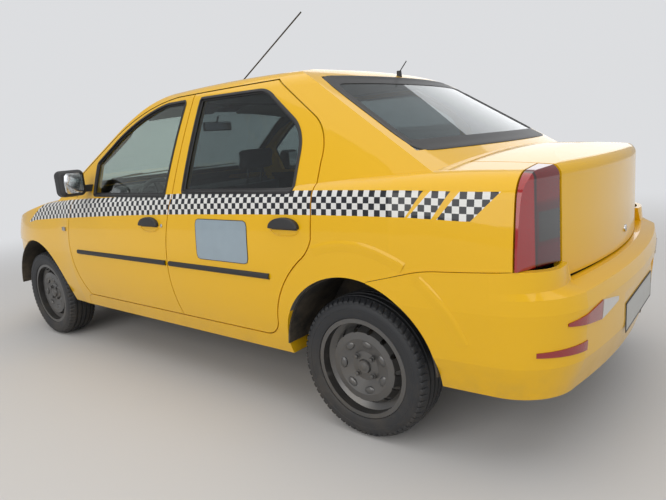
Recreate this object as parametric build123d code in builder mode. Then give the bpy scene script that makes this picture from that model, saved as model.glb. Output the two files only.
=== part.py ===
# Four-door saloon taxi. Millimetres, +Z up, front towards -Y, left side towards +X.
# The origin is on the ground, under the middle of the body.
import os
from math import cos, radians, sin

from build123d import *

os.makedirs("parts", exist_ok=True)

# Axles and wheels
front_axle_y = -1375.0
rear_axle_y = 1255.0
hub_height = 291.0
wheel_x = 728.0
tyre_radius = 291.0
tyre_width = 185.0
tyre_shoulder = 34.0
bead_radius = 193.0
flange_radius = 205.0
rim_width = 160.0
disc_hole_count = 14
disc_hole_radius = 10.5
disc_hole_circle = 152.0

# Body envelope
floor_z = 289.0
waist_z = 620.0
skin = 26.0
frame_depth = 52.0
panel_gap = 6.0
fit = 0.3

# Wheel arches and their liners
arch_radius = 355.0
arch_centre_z = 320.0
front_liner_x = 458.0
rear_liner_x = 545.0
liner_outer_x = 836.0
liner_wall = 7.0
liner_foot_z = 345.0

# Doors
door_depth = 42.0
door_skin = 9.0
glass_thickness = 5.0
door_inset = 44.0
door_frame_inset = 16.0
door_trail_inset = 28.0
aperture_inset = 34.0
aperture_frame_inset = 8.0
aperture_trail_inset = 14.0
belt_z = 968.0
door_foot_z = 372.0
door_head_z = 1446.0

# Lids and screens
screen_side = 46.0
screen_sink = 3.0
screen_thickness = 5.0
boot_front_y = 1640.0
boot_foot_z = 677.0
bonnet_rear_y = -1075.0

# Columns: y, sill x, waist x, shoulder x, shoulder z, edge x, edge z, centre z
lower_sections = [
    (-2150, 520, 560, 530, 660, 480, 720, 745),
    (-1960, 650, 690, 660, 735, 600, 800, 828),
    (-1720, 745, 795, 765, 810, 705, 868, 895),
    (-1375, 795, 856, 828, 868, 765, 912, 945),
    (-860, 807, 869, 842, 910, 792, 958, 992),
    (1450, 806, 866, 842, 965, 752, 1045, 1088),
    (1800, 790, 842, 815, 962, 725, 1046, 1084),
    (2000, 730, 785, 755, 955, 670, 1034, 1064),
    (2150, 620, 665, 640, 945, 570, 1020, 1045),
]
lower_stretches = (lower_sections[:5], lower_sections[4:6], lower_sections[5:])

# Columns: y, belt x, rail x, rail z, edge x, edge z, centre z
upper_sections = [
    (-1250, 800, 615, 1385, 470, 1455, 1490),
    (-100, 836, 645, 1415, 540, 1478, 1512),
    (500, 842, 652, 1422, 550, 1488, 1526),
    (1000, 832, 636, 1408, 530, 1472, 1508),
    (1750, 800, 575, 1340, 450, 1400, 1425),
]
upper_base_z = 850.0
upper_side_z = 940.0
upper_bulge = 9.0

# Side profiles of the screens, each turned about an upright axis: y, z, slope in degrees
screen_axis_y = 1500.0
screen_foot = (-1183.0, 918.8, 31.5)
screen_head = (-548.0, 1308.0, 31.5)
roof_front = (-3.0, 1496.0, 6.5)
back_axis_y = -1100.0
back_foot = (1700.0, 1037.4, -32.0)
back_head = (1110.0, 1406.0, -32.0)
roof_rear = (830.0, 1500.0, -5.2)

# Nose and tail faces, turned about upright axes. Brow and lip: y back from the face, z
nose_y = -2048.0
nose_radius = 1600.0
nose_brow = (12.0, 735.0)
nose_lip = (95.0, 812.0)
tail_y = 2030.0
tail_radius = 2500.0
tail_brow = (12.0, 1005.0)
tail_lip = (48.0, 1054.0)
brow_bend = (0.22, 0.66)
body_reach = 4000.0

# A panel drawn in keeps its soft upper edge a little further out. Shares of the inset: x, z
edge_shares = (0.7, 0.8)

# Planes past the body, where cuts end
past_front = -2300.0
past_rear = 2300.0
past_foot = 200.0
past_roof = 1600.0
past_middle = -10.0


def lower_body(inset):
    """Left half of the sill, side, bonnet and boot as one solid, drawn in by the inset."""
    with BuildPart() as body:
        for stretch in lower_stretches:
            for y, sill_x, waist_x, shoulder_x, shoulder_z, edge_x, edge_z, top_z in stretch:
                sill = (sill_x - inset, floor_z + inset)
                waist = (waist_x - inset, waist_z)
                shoulder = (shoulder_x - inset, shoulder_z)
                edge = (edge_x - edge_shares[0] * inset, edge_z - edge_shares[1] * inset)
                crown = (0, top_z - inset)
                with BuildSketch(Plane.XZ.offset(-y)):
                    with BuildLine():
                        Line((0, sill[1]), sill)
                        TangentArc(waist, sill, tangent=(0, -1))
                        side = TangentArc(waist, shoulder, tangent=(0, 1))
                        TangentArc(shoulder, edge, tangent=side % 1)
                        TangentArc(crown, edge, tangent=(1, 0))
                        Line(crown, (0, sill[1]))
                    make_face()
            loft()
    return body.part


def upper_body(inset):
    """Left half of the cabin's side and roof, before the screens cut it off."""
    with BuildPart() as body:
        for y, belt_x, rail_x, rail_z, edge_x, edge_z, top_z in upper_sections:
            belt = (belt_x - inset, upper_side_z)
            rail = (rail_x - inset, rail_z)
            middle = ((belt[0] + rail[0]) / 2 + upper_bulge, (belt[1] + rail[1]) / 2)
            edge = (edge_x - edge_shares[0] * inset, edge_z - edge_shares[1] * inset)
            crown = (0, top_z - inset)
            with BuildSketch(Plane.XZ.offset(-y)):
                with BuildLine():
                    Line((0, upper_base_z), (belt[0], upper_base_z))
                    Line((belt[0], upper_base_z), belt)
                    side = ThreePointArc(belt, middle, rail)
                    TangentArc(rail, edge, tangent=side % 1)
                    TangentArc(crown, edge, tangent=(1, 0))
                    Line(crown, (0, upper_base_z))
                make_face()
        loft()
    return body.part


def drawn_in(point, inset):
    """A profile point moved down and inwards, square to its slope."""
    y, z, slope = point
    return (y + inset * sin(radians(slope)), z - inset * cos(radians(slope)))


def screen_form(foot, head, roof, axis_y, inset):
    """A turned solid under a screen and the roof beside it."""
    foot_point = drawn_in(foot, inset)
    head_point = drawn_in(head, inset)
    roof_point = drawn_in(roof, inset)
    run = abs(axis_y - roof_point[0])
    axis_top = (axis_y, roof_point[1] + run * sin(radians(abs(roof[2]))))
    base_z = 600
    with BuildPart() as form:
        with BuildSketch(Plane.YZ):
            with BuildLine():
                Line((axis_y, base_z), (foot_point[0], base_z))
                Line((foot_point[0], base_z), foot_point)
                slope = Line(foot_point, head_point)
                TangentArc(head_point, roof_point, tangent=slope % 1)
                Line(roof_point, axis_top)
                Line(axis_top, (axis_y, base_z))
            make_face()
        revolve(axis=Axis((0, axis_y, 0), (0, 0, 1)))
    return form.part


def end_form(face_y, radius, outward, brow, lip, inset):
    """A turned solid behind the face of the nose or tail."""
    axis_y = face_y - outward * radius
    face = face_y - outward * inset
    foot_z = 100
    top_z = lip[1] - inset + 400
    brow_point = (face - outward * brow[0], brow[1] - inset)
    lip_point = (face - outward * lip[0], lip[1] - inset)
    middle = (brow_point[0] + brow_bend[0] * (lip_point[0] - brow_point[0]),
              brow_point[1] + brow_bend[1] * (lip_point[1] - brow_point[1]))
    with BuildPart() as form:
        with BuildSketch(Plane.YZ):
            with BuildLine():
                Line((axis_y, foot_z), (face, foot_z))
                Line((face, foot_z), brow_point)
                ThreePointArc(brow_point, middle, lip_point)
                Line(lip_point, (axis_y, top_z))
                Line((axis_y, top_z), (axis_y, foot_z))
            make_face()
        revolve(axis=Axis((0, axis_y, 0), (0, 0, 1)))
        with BuildSketch(Plane.XY.offset(foot_z)):
            with Locations((0, axis_y - outward * body_reach / 2)):
                Rectangle(body_reach, body_reach)
        extrude(amount=body_reach / 2)
    return form.part


def envelope(inset):
    """Left half of the whole body's outer form, or the same drawn in by the inset."""
    with BuildPart() as low:
        add(lower_body(inset))
        add(end_form(nose_y, nose_radius, -1, nose_brow, nose_lip, inset), mode=Mode.INTERSECT)
        add(end_form(tail_y, tail_radius, 1, tail_brow, tail_lip, inset), mode=Mode.INTERSECT)
    with BuildPart() as high:
        add(upper_body(inset))
        add(screen_form(screen_foot, screen_head, roof_front, screen_axis_y, inset), mode=Mode.INTERSECT)
        add(screen_form(back_foot, back_head, roof_rear, back_axis_y, inset), mode=Mode.INTERSECT)
    with BuildPart() as whole:
        add(low)
        add(high)
    return whole.part


def front_door_outline():
    with BuildSketch() as outline:
        with BuildLine():
            ThreePointArc((-741, door_foot_z), (-843, 660), (-765, belt_z))
            Polyline((-765, belt_z), (-745, 1098), (-425, 1294))
            ThreePointArc((-425, 1294), (-180, 1396), (90, door_head_z))
            Line((90, door_head_z), (232, door_head_z))
            Line((232, door_head_z), (203, belt_z))
            ThreePointArc((203, belt_z), (144, 690), (176, door_foot_z))
            Line((176, door_foot_z), (-741, door_foot_z))
        make_face()
    return outline.sketch


def rear_door_outline():
    with BuildSketch() as outline:
        with BuildLine():
            Line((182, door_foot_z), (775, door_foot_z))
            TangentArc((775, door_foot_z), (866, 455), tangent=(1, 0))
            ThreePointArc((866, 455), (936, 622), (1045, 736))
            TangentArc((1045, 736), (1093, 810), tangent=(48, 42))
            Line((1093, 810), (1103, 1100))
            ThreePointArc((1103, 1100), (1087, 1212), (1030, 1278))
            Line((1030, 1278), (790, door_head_z))
            Line((790, door_head_z), (238, door_head_z))
            Line((238, door_head_z), (209, belt_z))
            ThreePointArc((209, belt_z), (150, 690), (182, door_foot_z))
        make_face()
    return outline.sketch


def front_window_outline():
    with BuildSketch() as outline:
        with BuildLine():
            Polyline((141, 976), (-566, 976), (-585, 1146), (-400, 1268))
            ThreePointArc((-400, 1268), (-190, 1366), (20, 1417))
            Polyline((20, 1417), (176, 1417), (141, 976))
        make_face()
    return outline.sketch


def rear_window_outline():
    with BuildSketch() as outline:
        with BuildLine():
            Polyline((690, 1410), (301, 1417), (288, 993), (985, 993), (988, 1140))
            ThreePointArc((988, 1140), (973, 1212), (930, 1268))
            Line((930, 1268), (790, 1370))
            ThreePointArc((790, 1370), (742, 1400), (690, 1410))
        make_face()
    return outline.sketch


side_reach = 1000.0
side_start = 430.0
side_foot_x = 745.0
side_head = (500.0, 1550.0)
side_wall_y = (-1400.0, 1400.0)
frame_start_z = belt_z - 60.0


def side_prism(outline, start=side_start):
    """A side outline carried through the left half of the body."""
    with BuildPart() as prism:
        with BuildSketch(Plane.YZ.offset(start)):
            add(outline)
        extrude(amount=side_reach - start)
    return prism.part


def door_prism(outline):
    """A door's outline carried through the side wall alone, whose inside leans as the glass does."""
    with BuildPart() as prism:
        with BuildSketch(Plane.XZ.offset(-side_wall_y[1])):
            Polygon((side_foot_x, past_foot), (side_reach, past_foot), (side_reach, past_roof), side_head,
                    (side_foot_x, upper_side_z), align=None)
        extrude(amount=side_wall_y[1] - side_wall_y[0])
        add(side_prism(outline), mode=Mode.INTERSECT)
    return prism.part


def grown(outline, amount):
    with BuildSketch() as sketch:
        add(outline)
        offset(amount=amount)
    return sketch.sketch


def stepped_in(outline, lower_inset, frame_inset, trail_inset):
    """A door outline drawn in: more below the belt, and more at its trailing edge."""
    with BuildSketch() as frame:
        add(grown(outline, -frame_inset))
        with Locations((-trail_inset, 0)):
            add(grown(outline, -frame_inset), mode=Mode.INTERSECT)
        with Locations((0, frame_start_z + side_reach / 2)):
            Rectangle(2 * side_reach, side_reach, mode=Mode.INTERSECT)
    with BuildSketch() as sketch:
        add(grown(outline, -lower_inset))
        add(frame.sketch)
    return sketch.sketch


def mirrored(solid):
    with BuildPart() as other:
        add(solid)
        mirror(about=Plane.YZ, mode=Mode.REPLACE)
    return other.part


def both_halves(solid):
    with BuildPart() as whole:
        add(solid)
        mirror(about=Plane.YZ)
    return whole.part


def cylinder_x(y, z, radius, x_start, x_end):
    with BuildPart() as drum:
        with BuildSketch(Plane.YZ.offset(x_start)):
            with Locations((y, z)):
                Circle(radius)
        extrude(amount=x_end - x_start)
    return drum.part


def block(x_low, x_high, y_low, y_high, z_low, z_high):
    with BuildPart() as solid:
        with BuildSketch(Plane.XY.offset(z_low)):
            with Locations(((x_low + x_high) / 2, (y_low + y_high) / 2)):
                Rectangle(x_high - x_low, y_high - y_low)
        extrude(amount=z_high - z_low)
    return solid.part


def keep(solid, name):
    solid.label = name
    export_step(solid, "parts/" + name + ".step")


# Nested forms of the body
outer = envelope(0)
under_skin = envelope(door_skin)
under_glass = envelope(door_skin + glass_thickness)
under_panel = envelope(skin)
under_door = envelope(door_depth)
inside = envelope(frame_depth)

front_arch = cylinder_x(front_axle_y, arch_centre_z, arch_radius, front_liner_x - liner_wall, side_reach)
rear_arch = cylinder_x(rear_axle_y, arch_centre_z, arch_radius, rear_liner_x - liner_wall, side_reach)

# Columns: name, outline, window outline
door_table = [
    ("front", front_door_outline(), front_window_outline()),
    ("rear", rear_door_outline(), rear_window_outline()),
]

# Doors with their glass
for name, outline, window in door_table:
    with BuildPart() as door:
        add(outer)
        add(door_prism(outline), mode=Mode.INTERSECT)
        add(under_skin, mode=Mode.SUBTRACT)
    with BuildPart() as door_box:
        add(under_skin)
        add(door_prism(stepped_in(outline, door_inset, door_frame_inset, door_trail_inset)),
            mode=Mode.INTERSECT)
        add(under_door, mode=Mode.SUBTRACT)
    with BuildPart() as whole_door:
        add(door)
        add(door_box)
        add(side_prism(window), mode=Mode.SUBTRACT)
    with BuildPart() as glass:
        add(under_skin)
        add(side_prism(window), mode=Mode.INTERSECT)
        add(under_glass, mode=Mode.SUBTRACT)
    keep(whole_door.part, name + "_door_left")
    keep(mirrored(whole_door.part), name + "_door_right")
    keep(glass.part, name + "_door_glass_left")
    keep(mirrored(glass.part), name + "_door_glass_right")

# Body frame: sills, pillars, roof and rear quarters, as deep as a pillar
wing_top_z = 962.0
wing_start_x = 560.0
wing_rear_y = -771.0
cowl_front_y = -1068.0
floor_half_width = 700.0
bumper_top_z = 655.0
bonnet_foot_z = 776.0
lamp_top_z = 771.0
lamp_low_z = bumper_top_z + 4.0
lamp_inner_x = 455.0
lamp_rear_y = -1800.0
grille_half_width = 450.0
boot_side_front = 588.0
boot_side_rear = 594.0
boot_bend_y = 1930.0
wing_gap = 2.0
bumper_gap = 2.0
lid_height = 600.0


def boot_region(gap):
    """The space of the boot lid, seen from above and bounded below, grown by the gap."""
    with BuildPart() as region:
        with BuildSketch(Plane.XY.offset(boot_foot_z - gap)):
            with BuildLine():
                Polyline((0, boot_front_y - gap), (boot_side_front + gap, boot_front_y - gap),
                         (boot_side_rear + gap, boot_bend_y), (boot_side_rear + gap, past_rear),
                         (0, past_rear), (0, boot_front_y - gap))
            make_face()
        extrude(amount=lid_height)
    return region.part


screen_cut_depth = frame_depth + 60.0


def screen_region(foot, head, roof, axis_y, low_z, high_z, y_low, y_high):
    """The opening of a screen: the cabin drawn in at its sides, between two heights."""
    with BuildPart() as region:
        add(upper_body(screen_side))
        add(block(past_middle, side_reach, y_low, y_high, low_z, high_z), mode=Mode.INTERSECT)
        add(screen_form(foot, head, roof, axis_y, screen_cut_depth), mode=Mode.SUBTRACT)
    return region.part


def screen_glass(region, foot, head, roof, axis_y):
    with BuildPart() as pane:
        add(region)
        add(screen_form(foot, head, roof, axis_y, screen_sink), mode=Mode.INTERSECT)
        add(screen_form(foot, head, roof, axis_y, screen_sink + screen_thickness), mode=Mode.SUBTRACT)
    return both_halves(pane.part)


front_screen = (screen_foot, screen_head, roof_front, screen_axis_y)
rear_screen = (back_foot, back_head, roof_rear, back_axis_y)
# Bounds of the openings: foot z, head z, start y, end y
front_opening = screen_region(*front_screen, 1000, 1447, -1300, 60)
rear_opening = screen_region(*rear_screen, 1118, 1440, 800, 1800)
with BuildPart() as screens:
    add(screen_glass(front_opening, *front_screen))
    add(screen_glass(rear_opening, *rear_screen))
keep(screens.part, "screens")


def bumper_seam_outline(gap):
    """The side of the rear bumper, below its seam, grown upwards by the gap."""
    with BuildSketch() as outline:
        with BuildLine():
            Polyline((1255, past_foot), (1255, 600 + gap), (1354, 668 + gap), (1517, 711 + gap))
            TangentArc((1517, 711 + gap), (1640, 728 + gap), tangent=(163, 43))
            Polyline((1640, 728 + gap), (1876, 740 + gap), (past_rear, 701 + gap), (past_rear, past_foot),
                     (1255, past_foot))
        make_face()
    return outline.sketch


lamp_front_y = 1876.0
lamp_shoulder = (1905.0, 1068.0)
lamp_side_z = 1046.0
lamp_foot_z = (742.0, 712.0)


def tail_lamp_region(gap):
    """The corner that the tail lamp fills."""
    with BuildPart() as region:
        with BuildSketch(Plane.YZ.offset(boot_side_rear + 2 * panel_gap - gap)):
            with BuildLine():
                Polyline((2200, lamp_foot_z[1] - gap), (lamp_front_y - gap, lamp_foot_z[0] - gap),
                         (lamp_front_y - gap, lamp_side_z))
                TangentArc((lamp_front_y - gap, lamp_side_z), (lamp_shoulder[0], lamp_shoulder[1] + gap),
                           tangent=(0, 1))
                Polyline((lamp_shoulder[0], lamp_shoulder[1] + gap), (2200, lamp_shoulder[1] + gap),
                         (2200, lamp_foot_z[1] - gap))
            make_face()
        extrude(amount=side_reach - boot_side_rear)
    return region.part


def wing_outline():
    """The side of a front wing, from the lamp to the door."""
    with BuildSketch() as outline:
        with BuildLine():
            ThreePointArc((wing_rear_y, wing_top_z), (-849, 660), (-747, door_foot_z - panel_gap))
            Polyline((-747, door_foot_z - panel_gap), (-790, 352), (-818, floor_z), (-818, past_foot),
                     (front_axle_y, past_foot), (front_axle_y, bumper_top_z + bumper_gap),
                     (past_front, bumper_top_z + bumper_gap), (past_front, 1100), (cowl_front_y - wing_gap, 1100),
                     (cowl_front_y - wing_gap, wing_top_z), (wing_rear_y, wing_top_z))
        make_face()
    return outline.sketch


# Half widths of the bonnet. Columns: x, y
bonnet_side = [(694.0, bonnet_rear_y), (694.0, -1260.0), (600.0, -1900.0), (560.0, past_front)]


def bonnet_region(gap):
    """The space of the bonnet, seen from above and bounded below, grown by the gap."""
    with BuildPart() as region:
        with BuildSketch(Plane.XY.offset(bonnet_foot_z - gap)):
            with BuildLine():
                Polyline((0, bonnet_rear_y + gap), (bonnet_side[0][0] + gap, bonnet_rear_y + gap),
                         *[(x + gap, y) for x, y in bonnet_side[1:]], (0, past_front), (0, bonnet_rear_y + gap))
            make_face()
        extrude(amount=lid_height)
    return region.part


def lamp_band(x_start, x_end, y_end, gap):
    """A band across the nose between bumper and bonnet, grown by the gap."""
    return block(x_start - gap, x_end, past_front, y_end + gap, lamp_low_z - gap, lamp_top_z + gap)


# Pockets that the doors' leading edges swing into. Columns: start y, end y, depth as x
hinge_pockets = [(-870, -790, 830), (144, 190, 833)]
pocket_z = (400.0, 890.0)
sill_top_z = 420.0
tail_panel_y = 1880.0
with BuildPart() as frame_half:
    add(outer)
    add(block(past_middle, side_reach, cowl_front_y, past_rear, past_foot, past_roof), mode=Mode.INTERSECT)
    add(inside, mode=Mode.SUBTRACT)
    add(block(past_middle, floor_half_width, past_front, past_rear, past_foot, sill_top_z), mode=Mode.SUBTRACT)
    add(boot_region(panel_gap), mode=Mode.SUBTRACT)
    add(side_prism(bumper_seam_outline(bumper_gap)), mode=Mode.SUBTRACT)
    add(tail_lamp_region(panel_gap), mode=Mode.SUBTRACT)
    add(block(past_middle, boot_side_rear + panel_gap, tail_panel_y, past_rear, past_foot, boot_foot_z),
        mode=Mode.SUBTRACT)
    add(side_prism(grown(wing_outline(), wing_gap), wing_start_x - wing_gap), mode=Mode.SUBTRACT)
    add(rear_arch, mode=Mode.SUBTRACT)
    add(front_opening, mode=Mode.SUBTRACT)
    add(rear_opening, mode=Mode.SUBTRACT)
    for name, outline, window in door_table:
        with BuildPart(mode=Mode.PRIVATE) as rebate:
            add(door_prism(grown(outline, panel_gap)))
            add(under_glass, mode=Mode.SUBTRACT)
        add(rebate, mode=Mode.SUBTRACT)
        add(door_prism(stepped_in(outline, aperture_inset, aperture_frame_inset, aperture_trail_inset)),
            mode=Mode.SUBTRACT)
    for y_low, y_high, pocket_x in hinge_pockets:
        add(block(pocket_x, side_reach, y_low, y_high, *pocket_z), mode=Mode.SUBTRACT)
keep(both_halves(frame_half.part), "body_frame")

# Front wings, bonnet and boot lid
with BuildPart() as wing:
    add(outer)
    add(side_prism(wing_outline(), wing_start_x), mode=Mode.INTERSECT)
    add(under_panel, mode=Mode.SUBTRACT)
    add(bonnet_region(panel_gap), mode=Mode.SUBTRACT)
    add(lamp_band(lamp_inner_x, side_reach, lamp_rear_y, wing_gap), mode=Mode.SUBTRACT)
    add(front_arch, mode=Mode.SUBTRACT)
    add(block(past_middle, floor_half_width + panel_gap, past_front, 0, past_foot, sill_top_z),
        mode=Mode.SUBTRACT)
keep(both_halves(wing.part), "wings")

with BuildPart() as bonnet_half:
    add(outer)
    add(bonnet_region(0), mode=Mode.INTERSECT)
    add(under_panel, mode=Mode.SUBTRACT)
keep(both_halves(bonnet_half.part), "bonnet")

with BuildPart() as lid_half:
    add(outer)
    add(boot_region(0), mode=Mode.INTERSECT)
    add(under_panel, mode=Mode.SUBTRACT)
keep(both_halves(lid_half.part), "boot_lid")

# Lamps and grille
with BuildPart() as tail_lamp:
    add(outer)
    add(tail_lamp_region(0), mode=Mode.INTERSECT)
    add(under_door, mode=Mode.SUBTRACT)
keep(both_halves(tail_lamp.part), "tail_lamps")

with BuildPart() as headlamp:
    add(outer)
    add(lamp_band(lamp_inner_x, side_reach, lamp_rear_y, 0), mode=Mode.INTERSECT)
    add(under_door, mode=Mode.SUBTRACT)
keep(both_halves(headlamp.part), "headlamps")

grille_slot_z = (680.0, 706.0, 732.0)
grille_slot_height = 15.0
grille_slot_x = (12.0, grille_half_width - 16.0)
with BuildPart() as grille_half:
    add(under_skin)
    add(lamp_band(past_middle, grille_half_width, lamp_rear_y, 0), mode=Mode.INTERSECT)
    add(under_panel, mode=Mode.SUBTRACT)
    for slot_z in grille_slot_z:
        add(block(*grille_slot_x, past_front, lamp_rear_y, slot_z, slot_z + grille_slot_height),
            mode=Mode.SUBTRACT)
keep(both_halves(grille_half.part), "grille")

# Bumpers, level by level. Columns: z, side x, bend x, bend y, corner x, corner y, end y
rear_bumper_levels = [
    (300, 812, 795, 1800, 600, 1995, 2052),
    (420, 850, 832, 1800, 632, 2032, 2088),
    (600, 869, 847, 1800, 645, 2044, 2100),
    (650, 869, 846, 1800, 640, 2036, 2090),
    (672, 868, 845, 1800, 612, 1978, 2040),
    (742, 867, 843, 1800, 600, 1965, 2034),
]
front_bumper_levels = [
    (215, 790, 735, -1700, 510, -1950, -2040),
    (330, 822, 780, -1700, 550, -1985, -2085),
    (520, 857, 800, -1700, 562, -1998, -2100),
    (600, 857, 800, -1700, 560, -1993, -2096),
    (655, 857, 797, -1700, 552, -1980, -2080),
]
bumper_wall = 28.0
bumper_start_y = 1300.0
bumper_over = 30.0
corner_shares = (0.5, 0.9)
intake_low_z = (260.0, 310.0)
intake_height = 32.0
intake_reach = 430.0

# Number plates, and the flats on the bumpers that carry them
plate_half_width = 260.0
plate_height = 112.0
plate_thickness = 3.0
rear_plate_z = 394.0
rear_plate_y = 2080.0
front_plate_z = 372.0
front_plate_y = -2096.5
plate_recess_x = 300.0
plate_recess_z = (384.0, 560.0)
plate_clearance = 2.0
plinth_border = 8.0
plinth_rear_y = -2062.0


def bumper_form(levels, outward, inset):
    """Left half of a bumper's outer form, or the same drawn in and carried past both ends."""
    start_y = outward * (bumper_start_y - 10 if inset else bumper_start_y)
    over = bumper_over if inset else 0
    with BuildPart() as form:
        for index, (z, side_x, bend_x, bend_y, corner_x, corner_y, end_y) in enumerate(levels):
            shift = over * (-1 if index == 0 else 1 if index == len(levels) - 1 else 0)
            side = (side_x - inset, start_y)
            bend = (bend_x - inset, bend_y)
            corner = (corner_x - corner_shares[0] * inset, corner_y - outward * corner_shares[1] * inset)
            end = (0, end_y - outward * inset)
            with BuildSketch(Plane.XY.offset(z + shift)):
                with BuildLine():
                    Line((0, start_y), side)
                    flank = TangentArc(side, bend, tangent=(0, outward))
                    TangentArc(bend, corner, tangent=flank % 1)
                    TangentArc(end, corner, tangent=(1, 0))
                    Line(end, (0, start_y))
                make_face()
        loft(ruled=True)
    return form.part


with BuildPart() as rear_bumper_half:
    add(bumper_form(rear_bumper_levels, 1, 0))
    add(side_prism(bumper_seam_outline(0), past_middle), mode=Mode.INTERSECT)
    add(bumper_form(rear_bumper_levels, 1, bumper_wall), mode=Mode.SUBTRACT)
    add(boot_region(panel_gap), mode=Mode.SUBTRACT)
    add(block(past_middle, plate_recess_x, rear_plate_y, past_rear, *plate_recess_z), mode=Mode.SUBTRACT)
    add(rear_arch, mode=Mode.SUBTRACT)
keep(both_halves(rear_bumper_half.part), "rear_bumper")

with BuildPart() as front_bumper_half:
    add(bumper_form(front_bumper_levels, -1, 0))
    add(bumper_form(front_bumper_levels, -1, bumper_wall), mode=Mode.SUBTRACT)
    add(front_arch, mode=Mode.SUBTRACT)
    add(block(past_middle, side_reach, front_axle_y, 0, 0, past_roof), mode=Mode.SUBTRACT)
    for slot_z in intake_low_z:
        add(block(past_middle, intake_reach, past_front, -1900, slot_z, slot_z + intake_height),
            mode=Mode.SUBTRACT)
    add(block(past_middle, plate_half_width + plate_clearance, past_front, front_plate_y,
              front_plate_z - plate_clearance, front_plate_z + plate_height + plate_clearance),
        mode=Mode.SUBTRACT)
    add(block(0, plate_half_width - plinth_border, front_plate_y, plinth_rear_y, front_plate_z + plinth_border,
              front_plate_z + plate_height - plinth_border))
keep(both_halves(front_bumper_half.part), "front_bumper")

with BuildPart() as plates:
    add(block(-plate_half_width, plate_half_width, rear_plate_y + fit, rear_plate_y + fit + plate_thickness,
              rear_plate_z, rear_plate_z + plate_height))
    add(block(-plate_half_width, plate_half_width, front_plate_y - fit - plate_thickness, front_plate_y - fit,
              front_plate_z, front_plate_z + plate_height))
keep(plates.part, "plates")


# Floor, bulkhead and the frame that carries the nose. Columns: y, z of the floor's upper face
floor_line = [(-945, 424), (-830, 300), (470, 300), (560, 430), (1010, 450), (1930, 450)]
floor_thickness = 25.0
floor_side = floor_half_width - fit
# Upright panel behind the boot floor, and its ledge. Columns: half width, start y, end y, foot z, head z
tail_panel = [
    (555, 1905, 1930, 425, boot_foot_z - 10),
    (500, 1905, 1955, boot_foot_z - 32, boot_foot_z - 10),
]
with BuildPart() as floor_pan:
    with BuildSketch(Plane.YZ.offset(-floor_side)):
        with BuildLine():
            Polyline(*floor_line, *[(y, z - floor_thickness) for y, z in reversed(floor_line)], floor_line[0])
        make_face()
    extrude(amount=2 * floor_side)
    for half_width, *bounds in tail_panel:
        add(block(-half_width, half_width, *bounds))
    add(rear_arch, mode=Mode.SUBTRACT)
    add(mirrored(rear_arch), mode=Mode.SUBTRACT)
keep(floor_pan.part, "floor_pan")

bulkhead_foot = (-972.0, 424.3)
bulkhead_head = (-1012.0, 960.0)
bulkhead_thickness = 26.0
with BuildPart() as bulkhead_half:
    with BuildSketch(Plane.YZ.offset(0)):
        with BuildLine():
            Polyline(bulkhead_foot, bulkhead_head, (bulkhead_head[0] + bulkhead_thickness, bulkhead_head[1]),
                     (bulkhead_foot[0] + bulkhead_thickness, bulkhead_foot[1]), bulkhead_foot)
        make_face()
    extrude(amount=floor_side)
    add(inside, mode=Mode.INTERSECT)
keep(both_halves(bulkhead_half.part), "bulkhead")

# Rails, lamp panel and bumper beam. Columns: low x, high x, start y, end y, foot z, head z
panel_y = -1905.0
front_frame_table = [
    (345, 420, panel_y, -978, 430, 500),
    (-420, -345, panel_y, -978, 430, 500),
    (-512, 512, panel_y, panel_y + 20, 330, 700),
    (-480, 480, panel_y - 55, panel_y, 430, 520),
]
with BuildPart() as front_frame:
    for bounds in front_frame_table:
        add(block(*bounds))
keep(front_frame.part, "front_frame")

# Wheel arch liners. Columns: axle y, inner x
liner_table = [(front_axle_y, front_liner_x), (rear_axle_y, rear_liner_x)]
with BuildPart() as liners:
    for axle_y, inner_x in liner_table:
        add(cylinder_x(axle_y, arch_centre_z, arch_radius - fit, inner_x - liner_wall + fit, liner_outer_x))
        add(cylinder_x(axle_y, arch_centre_z, arch_radius - fit - liner_wall, inner_x, side_reach),
            mode=Mode.SUBTRACT)
        add(block(0, side_reach, axle_y - 2 * arch_radius, axle_y + 2 * arch_radius, -arch_radius, liner_foot_z),
            mode=Mode.SUBTRACT)
keep(both_halves(liners.part), "liners")

# Engine, tank and exhaust. Bounds: low x, high x, start y, end y, foot z, head z
engine_low_z = 235.0
engine_bounds = (-300, 320, -1700, -1290, engine_low_z, 770)
engine_corner = 40.0
tank_bounds = (-430, 430, 600, 980, 230, 404)
tank_corner = 50.0
silencer_bounds = (-520, -290, 1520, 1880, 232, 372)
silencer_corner = 55.0
hanger_bounds = (-420, -400, 1690, 1700, 370, 424.7)
with BuildPart() as engine:
    add(block(*engine_bounds))
    fillet(engine.edges().filter_by(Axis.Z), engine_corner)
keep(engine.part, "engine")

with BuildPart() as fuel_tank:
    add(block(*tank_bounds))
    fillet(fuel_tank.edges().filter_by(Axis.Z), tank_corner)
keep(fuel_tank.part, "fuel_tank")

pipe_radius = 22.0
pipe_x = -470.0
pipe_bend = 60.0
tail_pipe = (-440.0, 270.0)
tail_pipe_y = (1870.0, 2020.0)
with BuildPart() as exhaust:
    with BuildLine() as pipe_line:
        FilletPolyline((-100, -1286, 262), (-100, -1120, 238), (pipe_x, -760, 232), (pipe_x, 1300, 224),
                       (-410, 1480, 290), (-410, 1560, 290), radius=pipe_bend)
    with BuildSketch(Plane(origin=pipe_line.line @ 0, z_dir=pipe_line.line % 0)):
        Circle(pipe_radius)
    sweep(path=pipe_line.line)
    add(block(*silencer_bounds))
    fillet(exhaust.edges().filter_by(Axis.Y).filter_by(lambda edge: edge.length > 300), silencer_corner)
    add(block(*hanger_bounds))
    with BuildSketch(Plane.XZ.offset(-tail_pipe_y[0])):
        with Locations(tail_pipe):
            Circle(pipe_radius)
    extrude(amount=tail_pipe_y[0] - tail_pipe_y[1])
keep(exhaust.part, "exhaust")

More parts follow.
